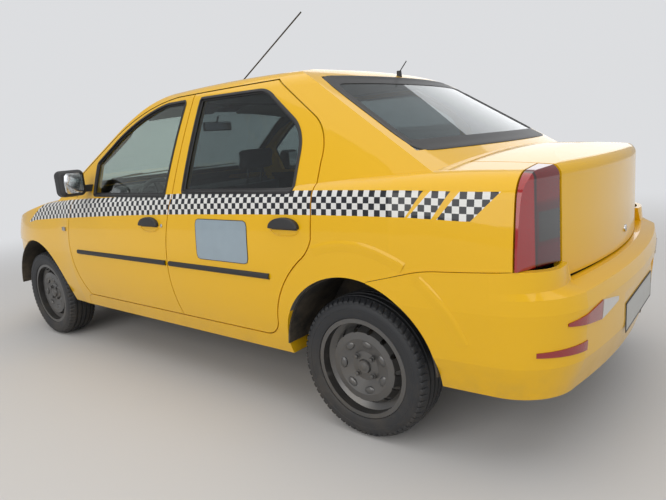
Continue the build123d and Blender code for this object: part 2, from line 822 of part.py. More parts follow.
# Suspension. The steering axis leans inwards from the ball joint to the strut's top
joint_x = 675.0
joint_z = 190.0
strut_top_x = 600.0
strut_top_z = 780.0
arm_low_z = 188.0
arm_top_z = 206.0
# Outline of a lower arm, seen from above. Columns: x, y behind the axle
arm_outline = [(300, -50), (300, 110), (690, 25), (690, -25), (300, -50)]
crossmember_half_width = 330.0
crossmember_y = (front_axle_y - 50, front_axle_y + 90)
crossmember_low_z = 186.0
ball_radius = 11.0
ball_stem_radius = 7.0
ball_stem_length = 20.0
ball_x = joint_x + (strut_top_x - joint_x) * (arm_top_z - joint_z) / (strut_top_z - joint_z)
stub_radius = 34.0
stub_start_x = 690.0
stub_end_x = 734.7
with BuildPart() as front_suspension:
    add(block(-crossmember_half_width, crossmember_half_width, *crossmember_y, crossmember_low_z,
              engine_low_z - fit))
    for side in (1, -1):
        with BuildSketch(Plane.XY.offset(arm_low_z)):
            with BuildLine():
                Polyline(*[(side * x, front_axle_y + behind) for x, behind in arm_outline])
            make_face()
        extrude(amount=arm_top_z - arm_low_z)
    with Locations((ball_x, front_axle_y, arm_top_z), (-ball_x, front_axle_y, arm_top_z)):
        Sphere(ball_radius + fit, mode=Mode.SUBTRACT)
keep(front_suspension.part, "front_suspension")

# The upright, its bracket on the strut, the wheel's stub and the ball that turns in the lower arm
upright_x = (657.0, 692.0)
upright_half_length = 48.0
upright_z = (216.0, 382.0)
upright_corner = 20.0
bracket_x = (590.0, 662.0)
bracket_half_length = 24.0
bracket_z = (335.0, 380.0)
strut_foot = (602.0, front_axle_y, 330.0)
strut_lean = (-12.0, 0.0, 325.0)
strut_radius = 21.0
with BuildPart() as knuckle:
    add(block(*upright_x, front_axle_y - upright_half_length, front_axle_y + upright_half_length, *upright_z))
    fillet(knuckle.edges().filter_by(Axis.X), upright_corner)
    add(block(*bracket_x, front_axle_y - bracket_half_length, front_axle_y + bracket_half_length, *bracket_z))
    add(cylinder_x(front_axle_y, hub_height, stub_radius, stub_start_x, stub_end_x))
    with Locations((ball_x, front_axle_y, arm_top_z)):
        Sphere(ball_radius)
    with BuildSketch(Plane(origin=(ball_x, front_axle_y, arm_top_z),
                           z_dir=(strut_top_x - joint_x, 0, strut_top_z - joint_z))):
        Circle(ball_stem_radius)
    extrude(amount=ball_stem_length)
    with BuildSketch(Plane(origin=strut_foot, z_dir=strut_lean)):
        Circle(strut_radius)
    extrude(amount=strut_lean[2])
keep(knuckle.part, "knuckle_left")
keep(mirrored(knuckle.part), "knuckle_right")

trailing_arm_x = (560.0, 600.0)
arm_overlap = 5.0
beam_y = 1040.0
beam_z = 285.0
beam_radius = 30.0
# Trailing arm, its foot on the floor and the spring's seat. Columns: low x, high x, start y, end y,
# foot z, head z
rear_axle_table = [
    (*trailing_arm_x, 860, rear_axle_y + 45, 255, 327),
    (*trailing_arm_x, 860, 900, 320, 417),
    (440, trailing_arm_x[0] + arm_overlap, 1110, 1210, 298, 312),
]
spring_place = (490.0, 1160.0)
spring_radius = 44.0
spring_z = (310.0, floor_line[-1][1] - floor_thickness - fit)
with BuildPart() as rear_axle_half:
    add(cylinder_x(beam_y, beam_z, beam_radius, 0, trailing_arm_x[0] + arm_overlap))
    for bounds in rear_axle_table:
        add(block(*bounds))
    with BuildSketch(Plane.XY.offset(spring_z[0])):
        with Locations(spring_place):
            Circle(spring_radius)
    extrude(amount=spring_z[1] - spring_z[0])
    add(cylinder_x(rear_axle_y, hub_height, stub_radius, trailing_arm_x[1] - arm_overlap, stub_end_x))
keep(both_halves(rear_axle_half.part), "rear_axle")

# Wheels. Columns of each profile: x from the wheel's middle plane, radius
half_rim = rim_width / 2
half_tyre = tyre_width / 2
disc_face = 47.0
with BuildPart() as rim:
    with BuildSketch(Plane.XY):
        with BuildLine():
            Polyline((half_rim, flange_radius), (half_rim - 8, flange_radius), (half_rim - 14, bead_radius),
                     (half_rim - 42, bead_radius), (half_rim - 56, 168), (-half_rim + 50, 168),
                     (-half_rim + 38, bead_radius), (-half_rim + 14, bead_radius), (-half_rim + 8, flange_radius),
                     (-half_rim, flange_radius), (-half_rim, bead_radius - 6), (-half_rim + 34, bead_radius - 6),
                     (-half_rim + 46, 162), (half_rim - 52, 162), (half_rim - 38, bead_radius - 6),
                     (half_rim, bead_radius - 6), (half_rim, flange_radius))
        make_face()
        with BuildLine():
            Polyline((8, 0), (8, 62), (40, 66), (disc_face + 10, 118), (disc_face + 6, 140), (12, 166),
                     (22, 166), (disc_face + 13, 144), (disc_face + 17, 116), (disc_face, 60), (disc_face + 4, 30),
                     (disc_face + 14, 26), (disc_face + 14, 0), (8, 0))
        make_face()
    revolve(axis=Axis.X)
    with BuildSketch(Plane.YZ):
        with PolarLocations(disc_hole_circle, disc_hole_count):
            Circle(disc_hole_radius)
    extrude(amount=100, mode=Mode.SUBTRACT)

with BuildPart() as tyre:
    with BuildSketch(Plane.XY):
        with BuildLine():
            tread = Line((-half_tyre + tyre_shoulder, tyre_radius), (half_tyre - tyre_shoulder, tyre_radius))
            wall = ThreePointArc(tread @ 1, (half_tyre - 8, tyre_radius - 20), (half_tyre, 250))
            TangentArc(wall @ 1, (half_rim + 4, flange_radius + 3), tangent=wall % 1)
            Polyline((half_rim + 4, flange_radius + 3), (half_rim - 8, flange_radius + fit),
                     (half_rim - 14, bead_radius + fit), (half_rim - 44, bead_radius + fit),
                     (-half_rim + 44, bead_radius + fit), (-half_rim + 14, bead_radius + fit),
                     (-half_rim + 8, flange_radius + fit), (-half_rim - 4, flange_radius + 3))
            other = ThreePointArc(tread @ 0, (-half_tyre + 8, tyre_radius - 20), (-half_tyre, 250))
            TangentArc(other @ 1, (-half_rim - 4, flange_radius + 3), tangent=other % 1)
        make_face()
    revolve(axis=Axis.X)

# Columns: name, axle y
for name, axle_y in (("front", front_axle_y), ("rear", rear_axle_y)):
    place = Pos(wheel_x, axle_y, hub_height)
    keep(place * rim.part, name + "_rim_left")
    keep(place * tyre.part, name + "_tyre_left")
    keep(mirrored(place * rim.part), name + "_rim_right")
    keep(mirrored(place * tyre.part), name + "_tyre_right")

# Cabin. Profile of the dashboard: y, z
dashboard_profile = [(-981.3, 902), (-720, 934), (-640, 905), (-628, 840), (-690, 640), (-720, 545),
                     (-952.8, 520), (-981.3, 902)]
dashboard_half_width = floor_side - 5
with BuildPart() as dashboard:
    with BuildSketch(Plane.YZ.offset(-dashboard_half_width)):
        with BuildLine():
            Polyline(*dashboard_profile)
        make_face()
    extrude(amount=2 * dashboard_half_width)
keep(dashboard.part, "dashboard")

column_lean = 26.0
wheel_hub = (370.0, -505.0, 850.0)
column_axis = (0, cos(radians(column_lean)), sin(radians(column_lean)))
column_plane = Plane(origin=wheel_hub, x_dir=(1, 0, 0), z_dir=column_axis)
column_square = (0, -sin(radians(column_lean)), cos(radians(column_lean)))
steering_radius = 182.0
grip_radius = 14.0
spoke_width = 34.0
spoke_depth = 22.0
spoke_thickness = 18.0
boss_radius = 52.0
shaft_radius = 20.0
shaft_length = 40.0
column_radius = 34.0
column_length = 170.0
with BuildPart() as steering_wheel:
    with BuildSketch(Plane(origin=wheel_hub, x_dir=(1, 0, 0), z_dir=column_square)):
        with Locations((steering_radius, 0)):
            Circle(grip_radius)
    revolve(axis=Axis(wheel_hub, column_axis))
    with BuildSketch(column_plane.offset(-spoke_depth)):
        Circle(boss_radius)
        Rectangle(2 * steering_radius, spoke_width)
        with Locations((0, -steering_radius / 2)):
            Rectangle(spoke_width, steering_radius)
    extrude(amount=spoke_thickness)
    with BuildSketch(column_plane.offset(-spoke_depth)):
        Circle(shaft_radius)
    extrude(amount=-shaft_length)
keep(steering_wheel.part, "steering_wheel")

with BuildPart() as steering_column:
    with BuildSketch(column_plane.offset(-spoke_depth - shaft_length - fit)):
        Circle(column_radius)
    extrude(amount=-column_length)
    add(dashboard.part, mode=Mode.SUBTRACT)
column_solid = steering_column.part.solids().sort_by(Axis.Y)[-1]
keep(column_solid, "steering_column")

seat_x = 370.0
rail_half_width = 190.0
rail_y = (-270.0, 130.0)
rail_z = (300.0, 345.0)
with BuildPart() as seat_rails:
    for side in (1, -1):
        add(block(side * seat_x - rail_half_width, side * seat_x + rail_half_width, *rail_y, *rail_z))
keep(seat_rails.part, "seat_rails")

# Side profiles of the seats: y, z
seat_foot_z = rail_z[1] + fit
seat_profile = [(-330, seat_foot_z), (170, seat_foot_z), (220, 470), (352, 1010), (250, 1030), (108, 500),
                (-330, 520), (-330, seat_foot_z)]
headrest_profile = [(278, 1005), (352, 1000), (392, 1170), (300, 1182), (278, 1005)]
seat_half_width = 250.0
headrest_half_width = 120.0
seat_corner = 32.0
rear_bench_bounds = (-640, 640, 530, 885, 452, 610)
rear_back_profile = [(880, 452), (1090, 452), (1265, 1080), (1130, 1100), (960, 610), (880, 610), (880, 452)]
rear_back_half_width = 525.0
with BuildPart() as seat:
    with BuildSketch(Plane.YZ.offset(seat_x - seat_half_width)):
        with BuildLine():
            Polyline(*seat_profile)
        make_face()
    extrude(amount=2 * seat_half_width)
    fillet(seat.edges().filter_by(Axis.X), seat_corner)
    with BuildSketch(Plane.YZ.offset(seat_x - headrest_half_width)):
        with BuildLine():
            Polyline(*headrest_profile)
        make_face()
    extrude(amount=2 * headrest_half_width)
keep(both_halves(seat.part), "front_seats")

with BuildPart() as rear_seat:
    add(block(*rear_bench_bounds))
    with BuildSketch(Plane.YZ.offset(-rear_back_half_width)):
        with BuildLine():
            Polyline(*rear_back_profile)
        make_face()
    extrude(amount=2 * rear_back_half_width)
keep(rear_seat.part, "rear_seat")

# Handle and moulding of each door. Columns: door, handle y, handle z, moulding start y, end y
trim_table = [
    ("front", 20, 846, -753, 136),
    ("rear", 960, 873, 160, 862),
]
handle_half_length = 80.0
handle_x = (800.0, 879.0)
handle_below = 14.0
handle_above = 18.0
handle_corner = 12.0
moulding_x = (850.0, 878.0)
moulding_z = (631.0, 653.0)
for name, handle_y, handle_z, start_y, end_y in trim_table:
    with BuildPart() as trim:
        add(block(*handle_x, handle_y - handle_half_length, handle_y + handle_half_length,
                  handle_z - handle_below, handle_z + handle_above))
        fillet(trim.edges().filter_by(Axis.X), handle_corner)
        add(block(*moulding_x, start_y, end_y, *moulding_z))
        add(outer, mode=Mode.SUBTRACT)
    keep(trim.part, name + "_door_trim_left")
    keep(mirrored(trim.part), name + "_door_trim_right")

mirror_bounds = (838, 985, -660, -570, 980, 1126)
mirror_corner = 30.0
mirror_foot_bounds = (780, 870, -645, -600, 996, 1034)
with BuildPart() as mirror_left:
    add(block(*mirror_bounds))
    fillet(mirror_left.edges(), mirror_corner)
    add(block(*mirror_foot_bounds))
    add(outer, mode=Mode.SUBTRACT)
keep(mirror_left.part, "mirror_left")
keep(mirrored(mirror_left.part), "mirror_right")

# Aerials on the roof. Columns: foot y, foot z, foot radius, head z, tip y, tip z, whip radius
aerial_table = [
    (-224, 1420, 19, 1508, 416, 1869, 4),
    (1012, 1400, 17, 1482, 1056, 1522, 2.5),
]
roof_strip_bounds = (-1, 60, -500, 1300, 1200, past_roof)
whip_overlap = 8.0
foot_taper = 4.0
with BuildPart() as roof_strip:
    add(outer)
    add(block(*roof_strip_bounds), mode=Mode.INTERSECT)
with BuildPart() as aerials:
    for foot_y, foot_z, foot_radius, head_z, tip_y, tip_z, whip_radius in aerial_table:
        with BuildSketch(Plane.XY.offset(foot_z)):
            with Locations((0, foot_y)):
                Circle(foot_radius)
        extrude(amount=head_z - foot_z, taper=foot_taper)
        whip = Edge.make_line((0, foot_y, head_z - whip_overlap), (0, tip_y, tip_z))
        with BuildSketch(Plane(origin=whip @ 0, z_dir=whip % 0)):
            Circle(whip_radius)
        extrude(amount=whip.length)
    add(both_halves(roof_strip.part), mode=Mode.SUBTRACT)
keep(aerials.part, "aerials")
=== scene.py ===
import bpy
import math
from mathutils import Matrix, Vector
from mathutils.bvhtree import BVHTree


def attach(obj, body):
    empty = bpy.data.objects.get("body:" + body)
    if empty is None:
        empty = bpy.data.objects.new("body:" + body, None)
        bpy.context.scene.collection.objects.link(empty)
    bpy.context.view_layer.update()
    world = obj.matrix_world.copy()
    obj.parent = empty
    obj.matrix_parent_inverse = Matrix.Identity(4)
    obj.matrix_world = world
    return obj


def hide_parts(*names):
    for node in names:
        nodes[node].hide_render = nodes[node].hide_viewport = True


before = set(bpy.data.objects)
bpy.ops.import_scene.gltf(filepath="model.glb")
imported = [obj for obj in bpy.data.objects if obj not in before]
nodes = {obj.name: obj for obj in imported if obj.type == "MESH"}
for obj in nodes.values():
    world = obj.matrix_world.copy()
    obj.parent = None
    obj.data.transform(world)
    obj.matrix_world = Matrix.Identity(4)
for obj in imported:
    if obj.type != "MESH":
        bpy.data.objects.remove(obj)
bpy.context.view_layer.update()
print("frame loaded:", len(nodes), "nodes")


# Handling of pieces


def deselectAll():
    if bpy.context.mode != "OBJECT":
        bpy.ops.object.mode_set(mode="OBJECT")
    bpy.ops.object.select_all(action="DESELECT")


def makeActive(piece):
    deselectAll()
    piece.select_set(True)
    bpy.context.view_layer.objects.active = piece


def editAll(piece):
    makeActive(piece)
    bpy.ops.object.mode_set(mode="EDIT")
    bpy.ops.mesh.select_mode(type="VERT")
    bpy.ops.mesh.select_all(action="SELECT")


def leaveEdit(turnOut=False):
    if turnOut:
        bpy.ops.mesh.normals_make_consistent(inside=False)
    bpy.ops.object.mode_set(mode="OBJECT")


def mergeDoubles(reach=0.00001):
    bpy.ops.mesh.select_all(action="SELECT")
    bpy.ops.mesh.remove_doubles(threshold=reach)


def applyModifier(piece, kind, **settings):
    makeActive(piece)
    modifier = piece.modifiers.new(kind.title(), kind)
    for key, value in settings.items():
        setattr(modifier, key, value)
    bpy.ops.object.modifier_apply(modifier=modifier.name)
    return piece


def settle(piece):  # the place goes into the mesh
    makeActive(piece)
    bpy.ops.object.transform_apply(location=True, rotation=True, scale=True)
    return piece


def copyOf(piece):
    twin = piece.copy()
    twin.data = piece.data.copy()
    twin.parent = None
    bpy.context.scene.collection.objects.link(twin)
    return twin


def joinAll(pieces):
    makeActive(pieces[0])
    for piece in pieces[1:]:
        piece.select_set(True)
    if len(pieces) > 1:
        bpy.ops.object.join()
    return bpy.context.view_layer.objects.active


def mirrorAcross(piece):  # the same piece on the car's other side
    twin = settle(copyOf(piece))
    for vertex in twin.data.vertices:
        vertex.co.x = -vertex.co.x
    editAll(twin)
    bpy.ops.mesh.flip_normals()
    leaveEdit()
    return twin


def dress(piece, name, body, slotName, material, angle=40, stands=()):
    settle(piece)
    piece.name = piece.data.name = name
    piece.data.materials.clear()
    piece.data.materials.append(material)
    bpy.ops.object.shade_smooth_by_angle(angle=math.radians(angle))
    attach(piece, body)
    if stands:
        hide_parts(*stands)
    return piece


def dressBoth(piece, name, body, slotName, material, angle=40, stands=()):  # with its twin on the right
    twin = mirrorAcross(piece)
    for one, side in ((piece, "left"), (twin, "right")):
        replaced = [node.format(side) for node in stands if side == "left" or "{}" in node]
        dress(one, name + side.title(), body.format(side), slotName, material, angle, replaced)


def fitBlack(name, material, *pieces, angle=40):  # fixed trim that rides with the shell
    return dress(joinAll(pieces), name, "shell", "black_plastic", material, angle)


def softBox(low, high, bevel=0.004, segments=2):
    deselectAll()
    bpy.ops.mesh.primitive_cube_add(size=1, location=[(a + b) / 2 for a, b in zip(low, high)])
    piece = bpy.context.object
    piece.scale = [b - a for a, b in zip(low, high)]
    settle(piece)
    if bevel:
        applyModifier(piece, "BEVEL", width=bevel, segments=segments)
    return piece


def drum(centre, axis, radius, depth, sides=32, bevel=0.0):
    deselectAll()
    bpy.ops.mesh.primitive_cylinder_add(vertices=sides, radius=radius, depth=depth)
    piece = bpy.context.object
    if bevel:
        applyModifier(piece, "BEVEL", width=bevel, segments=2, limit_method="ANGLE")
    piece.rotation_mode = "QUATERNION"
    piece.rotation_quaternion = Vector((0, 0, 1)).rotation_difference(Vector(axis))
    piece.location = centre
    return settle(piece)


def ball(centre, size, turnX=0.0, sides=24, rings=14):
    deselectAll()
    bpy.ops.mesh.primitive_uv_sphere_add(segments=sides, ring_count=rings, radius=1, location=centre)
    piece = bpy.context.object
    piece.scale = size
    piece.rotation_euler = (turnX, 0, 0)
    return settle(piece)


def chain(points):  # one vertex pulled out point by point
    deselectAll()
    bpy.ops.mesh.primitive_plane_add(size=0.01, location=points[0])
    piece = settle(bpy.context.object)
    editAll(piece)
    bpy.ops.mesh.merge(type="CENTER")
    for start, end in zip(points, points[1:]):
        step = Vector(end) - Vector(start)
        bpy.ops.mesh.extrude_vertices_move(TRANSFORM_OT_translate={"value": step})
    bpy.ops.mesh.select_all(action="SELECT")
    return piece


def turned(points, centre, axis, steps=48):
    piece = chain(points)
    bpy.ops.mesh.spin(steps=steps, angle=2 * math.pi, center=centre, axis=axis)
    mergeDoubles()
    leaveEdit(turnOut=True)
    return piece


def slab(points, push, bevel=0.0, segments=2):  # a filled outline pulled to a thickness
    piece = chain(points)
    bpy.ops.mesh.edge_face_add()
    bpy.ops.mesh.extrude_region_move(TRANSFORM_OT_translate={"value": Vector(push)})
    bpy.ops.mesh.select_all(action="SELECT")
    leaveEdit(turnOut=True)
    if bevel:
        applyModifier(piece, "BEVEL", width=bevel, segments=segments, limit_method="ANGLE",
                      angle_limit=math.radians(40))
    return piece


def gridSheet(rows, thickness=0.0, closed=False):
    if closed:
        rows = rows + [rows[0]]
    deselectAll()
    bpy.ops.mesh.primitive_grid_add(x_subdivisions=len(rows[0]) - 1, y_subdivisions=len(rows) - 1, size=1)
    piece = bpy.context.object
    for index, point in enumerate(point for row in rows for point in row):
        piece.data.vertices[index].co = point
    if closed:
        editAll(piece)
        mergeDoubles(0.00002)
        leaveEdit()
    if thickness:
        applyModifier(piece, "SOLIDIFY", thickness=thickness, offset=0)
    editAll(piece)
    leaveEdit(turnOut=True)
    return piece


def spaced(start, stop, count):
    return [start + (stop - start) * step / count for step in range(count + 1)]


def around(centre, radius, degrees):
    turn = math.radians(degrees)
    return centre[0] + radius * math.cos(turn), centre[1] + radius * math.sin(turn)


def sheetOver(across, along, spotAt, thickness):
    return gridSheet([[spotAt(a, b) for a in across] for b in along], thickness)


def wire(points, radius, sides=2, closed=False, smooth=True):
    line = bpy.data.curves.new("line", "CURVE")
    line.dimensions = "3D"
    line.bevel_depth = radius
    line.bevel_resolution = sides
    line.use_fill_caps = True
    strand = line.splines.new("NURBS" if smooth else "POLY")
    strand.points.add(len(points) - 1)
    for spot, point in zip(strand.points, points):
        spot.co = (*point, 1)
    if smooth:
        strand.order_u = 3
        strand.use_endpoint_u = not closed
        strand.resolution_u = 6
    strand.use_cyclic_u = closed
    piece = bpy.data.objects.new("line", line)
    bpy.context.scene.collection.objects.link(piece)
    makeActive(piece)
    bpy.ops.object.convert(target="MESH")
    return bpy.context.object


# Reading the frame's surface


def treeOf(names):
    corners, faces, owners = [], [], []
    for name in names:
        mesh = nodes[name].data
        start = len(corners)
        corners += [vertex.co.copy() for vertex in mesh.vertices]
        faces += [[start + index for index in face.vertices] for face in mesh.polygons]
        owners += [name] * len(mesh.polygons)
    return BVHTree.FromPolygons(corners, faces), owners


def casterFor(*names):
    tree = treeOf(names)[0]
    return lambda origin, look: tree.ray_cast(Vector(origin), Vector(look))[0]


hidden, addedOn = ("liners", "engine", "exhaust", "aerials", "plates"), ("trim", "mirror", "tyre", "rim")
outsideNames = [name for name in nodes if name not in hidden and not any(part in name for part in addedOn)]
outsideTree, outsideOwners = treeOf(outsideNames)


def strike(origin, look):
    spot, _, index, _ = outsideTree.ray_cast(Vector(origin), Vector(look))
    return spot, None if spot is None else outsideOwners[index]


def sideSpot(y, z, lift=0.0, side=1):
    return Vector((strike((side * 1.2, y, z), (-side, 0, 0))[0].x + side * lift, y, z))


def endSpot(x, z, end=1):
    return Vector((x, strike((x, end * 2.6, z), (0, -end, 0))[0].y, z))


def radialSpot(pivot, degrees, z, lift=0.0):  # the outside as met from an upright axis inside the car
    aim = Vector((math.cos(math.radians(degrees)), math.sin(math.radians(degrees)), 0))
    return strike(Vector((*pivot, z)) + aim * 1.6, -aim)[0] + aim * lift


def offsetLoop(loop, amount):
    moved = []
    for index, (u, v) in enumerate(loop):
        before, after = loop[index - 1], loop[(index + 1) % len(loop)]
        du, dv = after[0] - before[0], after[1] - before[1]
        size = math.hypot(du, dv) or 1
        moved.append((u + amount * dv / size, v - amount * du / size))
    return moved


def resample(loop, count):
    lengths = [math.dist(loop[index - 1], loop[index]) for index in range(1, len(loop))]
    lengths.append(math.dist(loop[-1], loop[0]))
    total, result, index, walked = sum(lengths), [], 0, 0.0
    for step in range(count):
        target = total * step / count
        while walked + lengths[index] < target:
            walked += lengths[index]
            index += 1
        share = (target - walked) / (lengths[index] or 1)
        a, b = loop[index], loop[(index + 1) % len(loop)]
        result.append((a[0] + (b[0] - a[0]) * share, a[1] + (b[1] - a[1]) * share))
    return result


def relaxed(loop, rounds):  # corners rounded by averaging each point with its neighbours
    for _ in range(rounds):
        loop = [((a[0] + 2 * b[0] + c[0]) / 4, (a[1] + 2 * b[1] + c[1]) / 4)
                for a, b, c in zip(loop[-1:] + loop[:-1], loop, loop[1:] + loop[:1])]
    return loop


def rimRibbon(owner, aim, look, offsets, lifts, rounds=0):  # a band along the line where a pane ends
    centre, way, across, up = (Vector(part) for part in aim)
    loop = []
    for index in range(look["rays"]):
        turn = 2 * math.pi * index / look["rays"]
        near, far = look["search"]
        for _ in range(look["halvings"]):
            middle = (near + far) / 2
            met = strike(centre + across * middle * math.cos(turn) + up * middle * math.sin(turn), way)[1]
            near, far = (middle, far) if met == owner else (near, middle)
        loop.append((near * math.cos(turn), near * math.sin(turn)))
    loop = relaxed(resample(loop, look["points"]), rounds)
    rows = []
    for offset, lift in zip(offsets, lifts):
        starts = [centre + across * u + up * v for u, v in offsetLoop(loop, offset)]
        rows.append([(strike(start, way)[0] or start + way) - way * lift for start in starts])
    return gridSheet([list(column) for column in zip(*rows)], look["thickness"], closed=True)


# Materials


def newMaterial(name):
    material = bpy.data.materials.new(name)
    material.use_nodes = True
    tree = material.node_tree
    tree.nodes.remove(tree.nodes["Principled BSDF"])
    shader = tree.nodes.new("ShaderNodeBsdfPrincipled")
    tree.links.new(shader.outputs[0], tree.nodes["Material Output"].inputs[0])
    return material, tree, shader


def feed(socket, value):  # a link for another node's output, else a fixed value
    if isinstance(value, bpy.types.NodeSocket):
        socket.id_data.links.new(value, socket)
    else:
        socket.default_value = (*value, 1) if isinstance(value, tuple) and socket.type == "RGBA" else value


def setSockets(node, **values):
    for key, value in values.items():
        feed(node.inputs[key.replace("_", " ")], value)


def calc(operation, *values, clamp=False):  # made in the tree of the first value that is a socket
    socket = next(value for value in values if isinstance(value, bpy.types.NodeSocket))
    node = socket.id_data.nodes.new("ShaderNodeMath")
    node.operation = operation
    node.use_clamp = clamp
    for socket, value in zip(node.inputs, values):
        feed(socket, value)
    return node.outputs[0]


def times(first, *others):
    for other in others:
        first = calc("MULTIPLY", first, other)
    return first


def inside(value, low, high):  # one between the limits, else nought
    return times(calc("GREATER_THAN", value, low), calc("LESS_THAN", value, high))


def outOf(value):
    return calc("SUBTRACT", 1.0, value)


def mixColour(share, first, second):
    node = share.id_data.nodes.new("ShaderNodeMix")
    node.data_type = "RGBA"
    for index, value in ((0, share), (6, first), (7, second)):
        feed(node.inputs[index], value)
    return node.outputs[2]


def newGroup(name, inputs, *outputs):
    group = bpy.data.node_groups.new(name, "ShaderNodeTree")
    for label, value in inputs.items():
        socket = group.interface.new_socket(label, in_out="INPUT", socket_type="NodeSocketFloat")
        socket.default_value = value
    for label in outputs:
        group.interface.new_socket(label, in_out="OUTPUT", socket_type="NodeSocketFloat")
    return group, group.nodes.new("NodeGroupInput").outputs, group.nodes.new("NodeGroupOutput")


def placeGroup(tree, group, **values):
    node = tree.nodes.new("ShaderNodeGroup")
    node.node_tree = group
    setSockets(node, **values)
    return node.outputs


def partsOf(vector):
    split = vector.id_data.nodes.new("ShaderNodeSeparateXYZ")
    feed(split.inputs[0], vector)
    return tuple(split.outputs)


def objectPlace(tree):  # the point on the piece, then its x, y and z
    place = tree.nodes.new("ShaderNodeTexCoord").outputs["Object"]
    return (place, *partsOf(place))


def noiseAt(vector, scale, detail=3.0, roughness=0.5):
    node = vector.id_data.nodes.new("ShaderNodeTexNoise")
    setSockets(node, Vector=vector, Scale=scale, Detail=detail, Roughness=roughness)
    return node.outputs["Fac"]


def spreadOf(value, low, high):  # nought below low, one above high
    node = value.id_data.nodes.new("ShaderNodeMapRange")
    node.interpolation_type = "SMOOTHSTEP"
    for socket, part in zip(node.inputs, (value, low, high)):
        feed(socket, part)
    return node.outputs[0]


def makeDustGroup():  # road dust that thins out with height
    group, entry, leave = newGroup("roadDust", {"amount": 0.5, "height": 0.5}, "mask", "grime")
    place, x, y, z = objectPlace(group)
    blotch = noiseAt(place, 9.0, 5.0, 0.65)
    speck = noiseAt(place, 160.0, 2.0, 0.6)
    low = spreadOf(z, entry["height"], 0.12)
    patchy = times(spreadOf(blotch, 0.3, 0.75), low)
    specks = times(spreadOf(speck, 0.6, 0.75), low)
    both = calc("MULTIPLY_ADD", specks, 0.35, patchy)
    setSockets(leave, mask=calc("MULTIPLY", both, entry["amount"], clamp=True), grime=blotch)
    return group


def makeGrainGroup():  # fine leather-like grain of moulded plastic
    group, entry, leave = newGroup("mouldedGrain", {"size": 900.0}, "height")
    cells = group.nodes.new("ShaderNodeTexVoronoi")
    setSockets(cells, Vector=objectPlace(group)[0], Scale=entry["size"])
    setSockets(leave, height=cells.outputs["Distance"])
    return group


def makeWeaveGroup():  # crossed threads
    group, entry, leave = newGroup("wovenCloth", {"threads": 500.0}, "height", "shade")
    place, x, y, z = objectPlace(group)
    warp = calc("SINE", times(x, entry["threads"]))
    weft = calc("SINE", times(calc("ADD", y, z), entry["threads"]))
    setSockets(leave, height=times(warp, weft), shade=noiseAt(place, 60.0, 4.0))
    return group


wheelLook = {"x": 0.728, "z": 0.291, "frontY": -1.375, "rearY": 1.255}
stripeShape = {
    "yStart": -1.5, "yRun": 3.4, "zStart": 0.75, "zRun": 0.3, "square": 0.024, "rows": 4,
    "top": [(-1.43, 0.893), (-1.199, 0.917), (-1.065, 0.93), (-0.936, 0.94), (-0.751, 0.949),
            (-0.468, 0.959), (0.014, 0.975), (0.481, 0.989), (1.024, 0.995), (1.475, 0.994), (1.83, 0.985)],
    "bottom": [(-1.428, 0.796), (-1.303, 0.813), (-1.06, 0.83), (-0.799, 0.843), (-0.451, 0.86),
               (0.036, 0.88), (0.506, 0.893), (1.047, 0.903), (1.502, 0.904), (1.608, 0.9), (1.74, 0.895)],
    # slanted cuts: y at the stripe's foot, and how much further back it is at its top
    "front": (-1.428, 0.229), "end": (1.74, 0.09),
    "cuts": [((1.512, 0.065), (1.522, 0.081)), ((1.608, 0.064), (1.627, 0.076))],
    "innerX": 0.72,
}


def makeStripeGroup():  # the checker band along the car's sides
    shape = stripeShape
    group, entry, leave = newGroup("checkerBand", {}, "band", "white")
    place, x, y, z = objectPlace(group)
    facing = partsOf(group.nodes.new("ShaderNodeTexCoord").outputs["Normal"])[0]
    along = calc("DIVIDE", calc("SUBTRACT", y, shape["yStart"]), shape["yRun"])

    def edgeCurve(points):
        curve = group.nodes.new("ShaderNodeFloatCurve")
        spots = [((a - shape["yStart"]) / shape["yRun"], (b - shape["zStart"]) / shape["zRun"])
                 for a, b in points]
        line = curve.mapping.curves[0]
        line.points[0].location = (0.0, spots[0][1])
        line.points[1].location = (1.0, spots[-1][1])
        for u, v in spots:
            line.points.new(u, v)
        curve.mapping.update()
        setSockets(curve, Value=along)
        return calc("MULTIPLY_ADD", curve.outputs[0], shape["zRun"], shape["zStart"])

    foot, head = edgeCurve(shape["bottom"]), edgeCurve(shape["top"])
    share = calc("DIVIDE", calc("SUBTRACT", z, foot), calc("SUBTRACT", head, foot))

    def behind(cut):  # one where a point lies behind a slanted cut
        return calc("GREATER_THAN", y, calc("MULTIPLY_ADD", share, cut[1], cut[0]))

    band = times(inside(share, 0.0, 1.0), behind(shape["front"]), outOf(behind(shape["end"])))
    for start, stop in shape["cuts"]:
        band = times(band, outOf(calc("SUBTRACT", behind(start), behind(stop))))
    wide = calc("GREATER_THAN", calc("ABSOLUTE", x), shape["innerX"])
    outward = calc("GREATER_THAN", times(facing, calc("SIGN", x)), 0.3)
    column = calc("FLOOR", calc("DIVIDE", y, shape["square"]))
    row = calc("FLOOR", times(share, shape["rows"]))
    odd = calc("PINGPONG", calc("ADD", column, row), 1.0)
    setSockets(leave, band=times(band, wide, outward), white=odd)
    return group


dustGroup = makeDustGroup()
grainGroup = makeGrainGroup()
weaveGroup = makeWeaveGroup()
stripeGroup = makeStripeGroup()

paintLook = {"yellow": (0.82, 0.465, 0.004), "black": (0.01, 0.012, 0.018), "white": (0.74, 0.74, 0.72),
             "trim": (0.16, 0.155, 0.15), "dust": (0.21, 0.165, 0.11), "scuff": (0.02, 0.02, 0.02),
             "coat": 0.65}


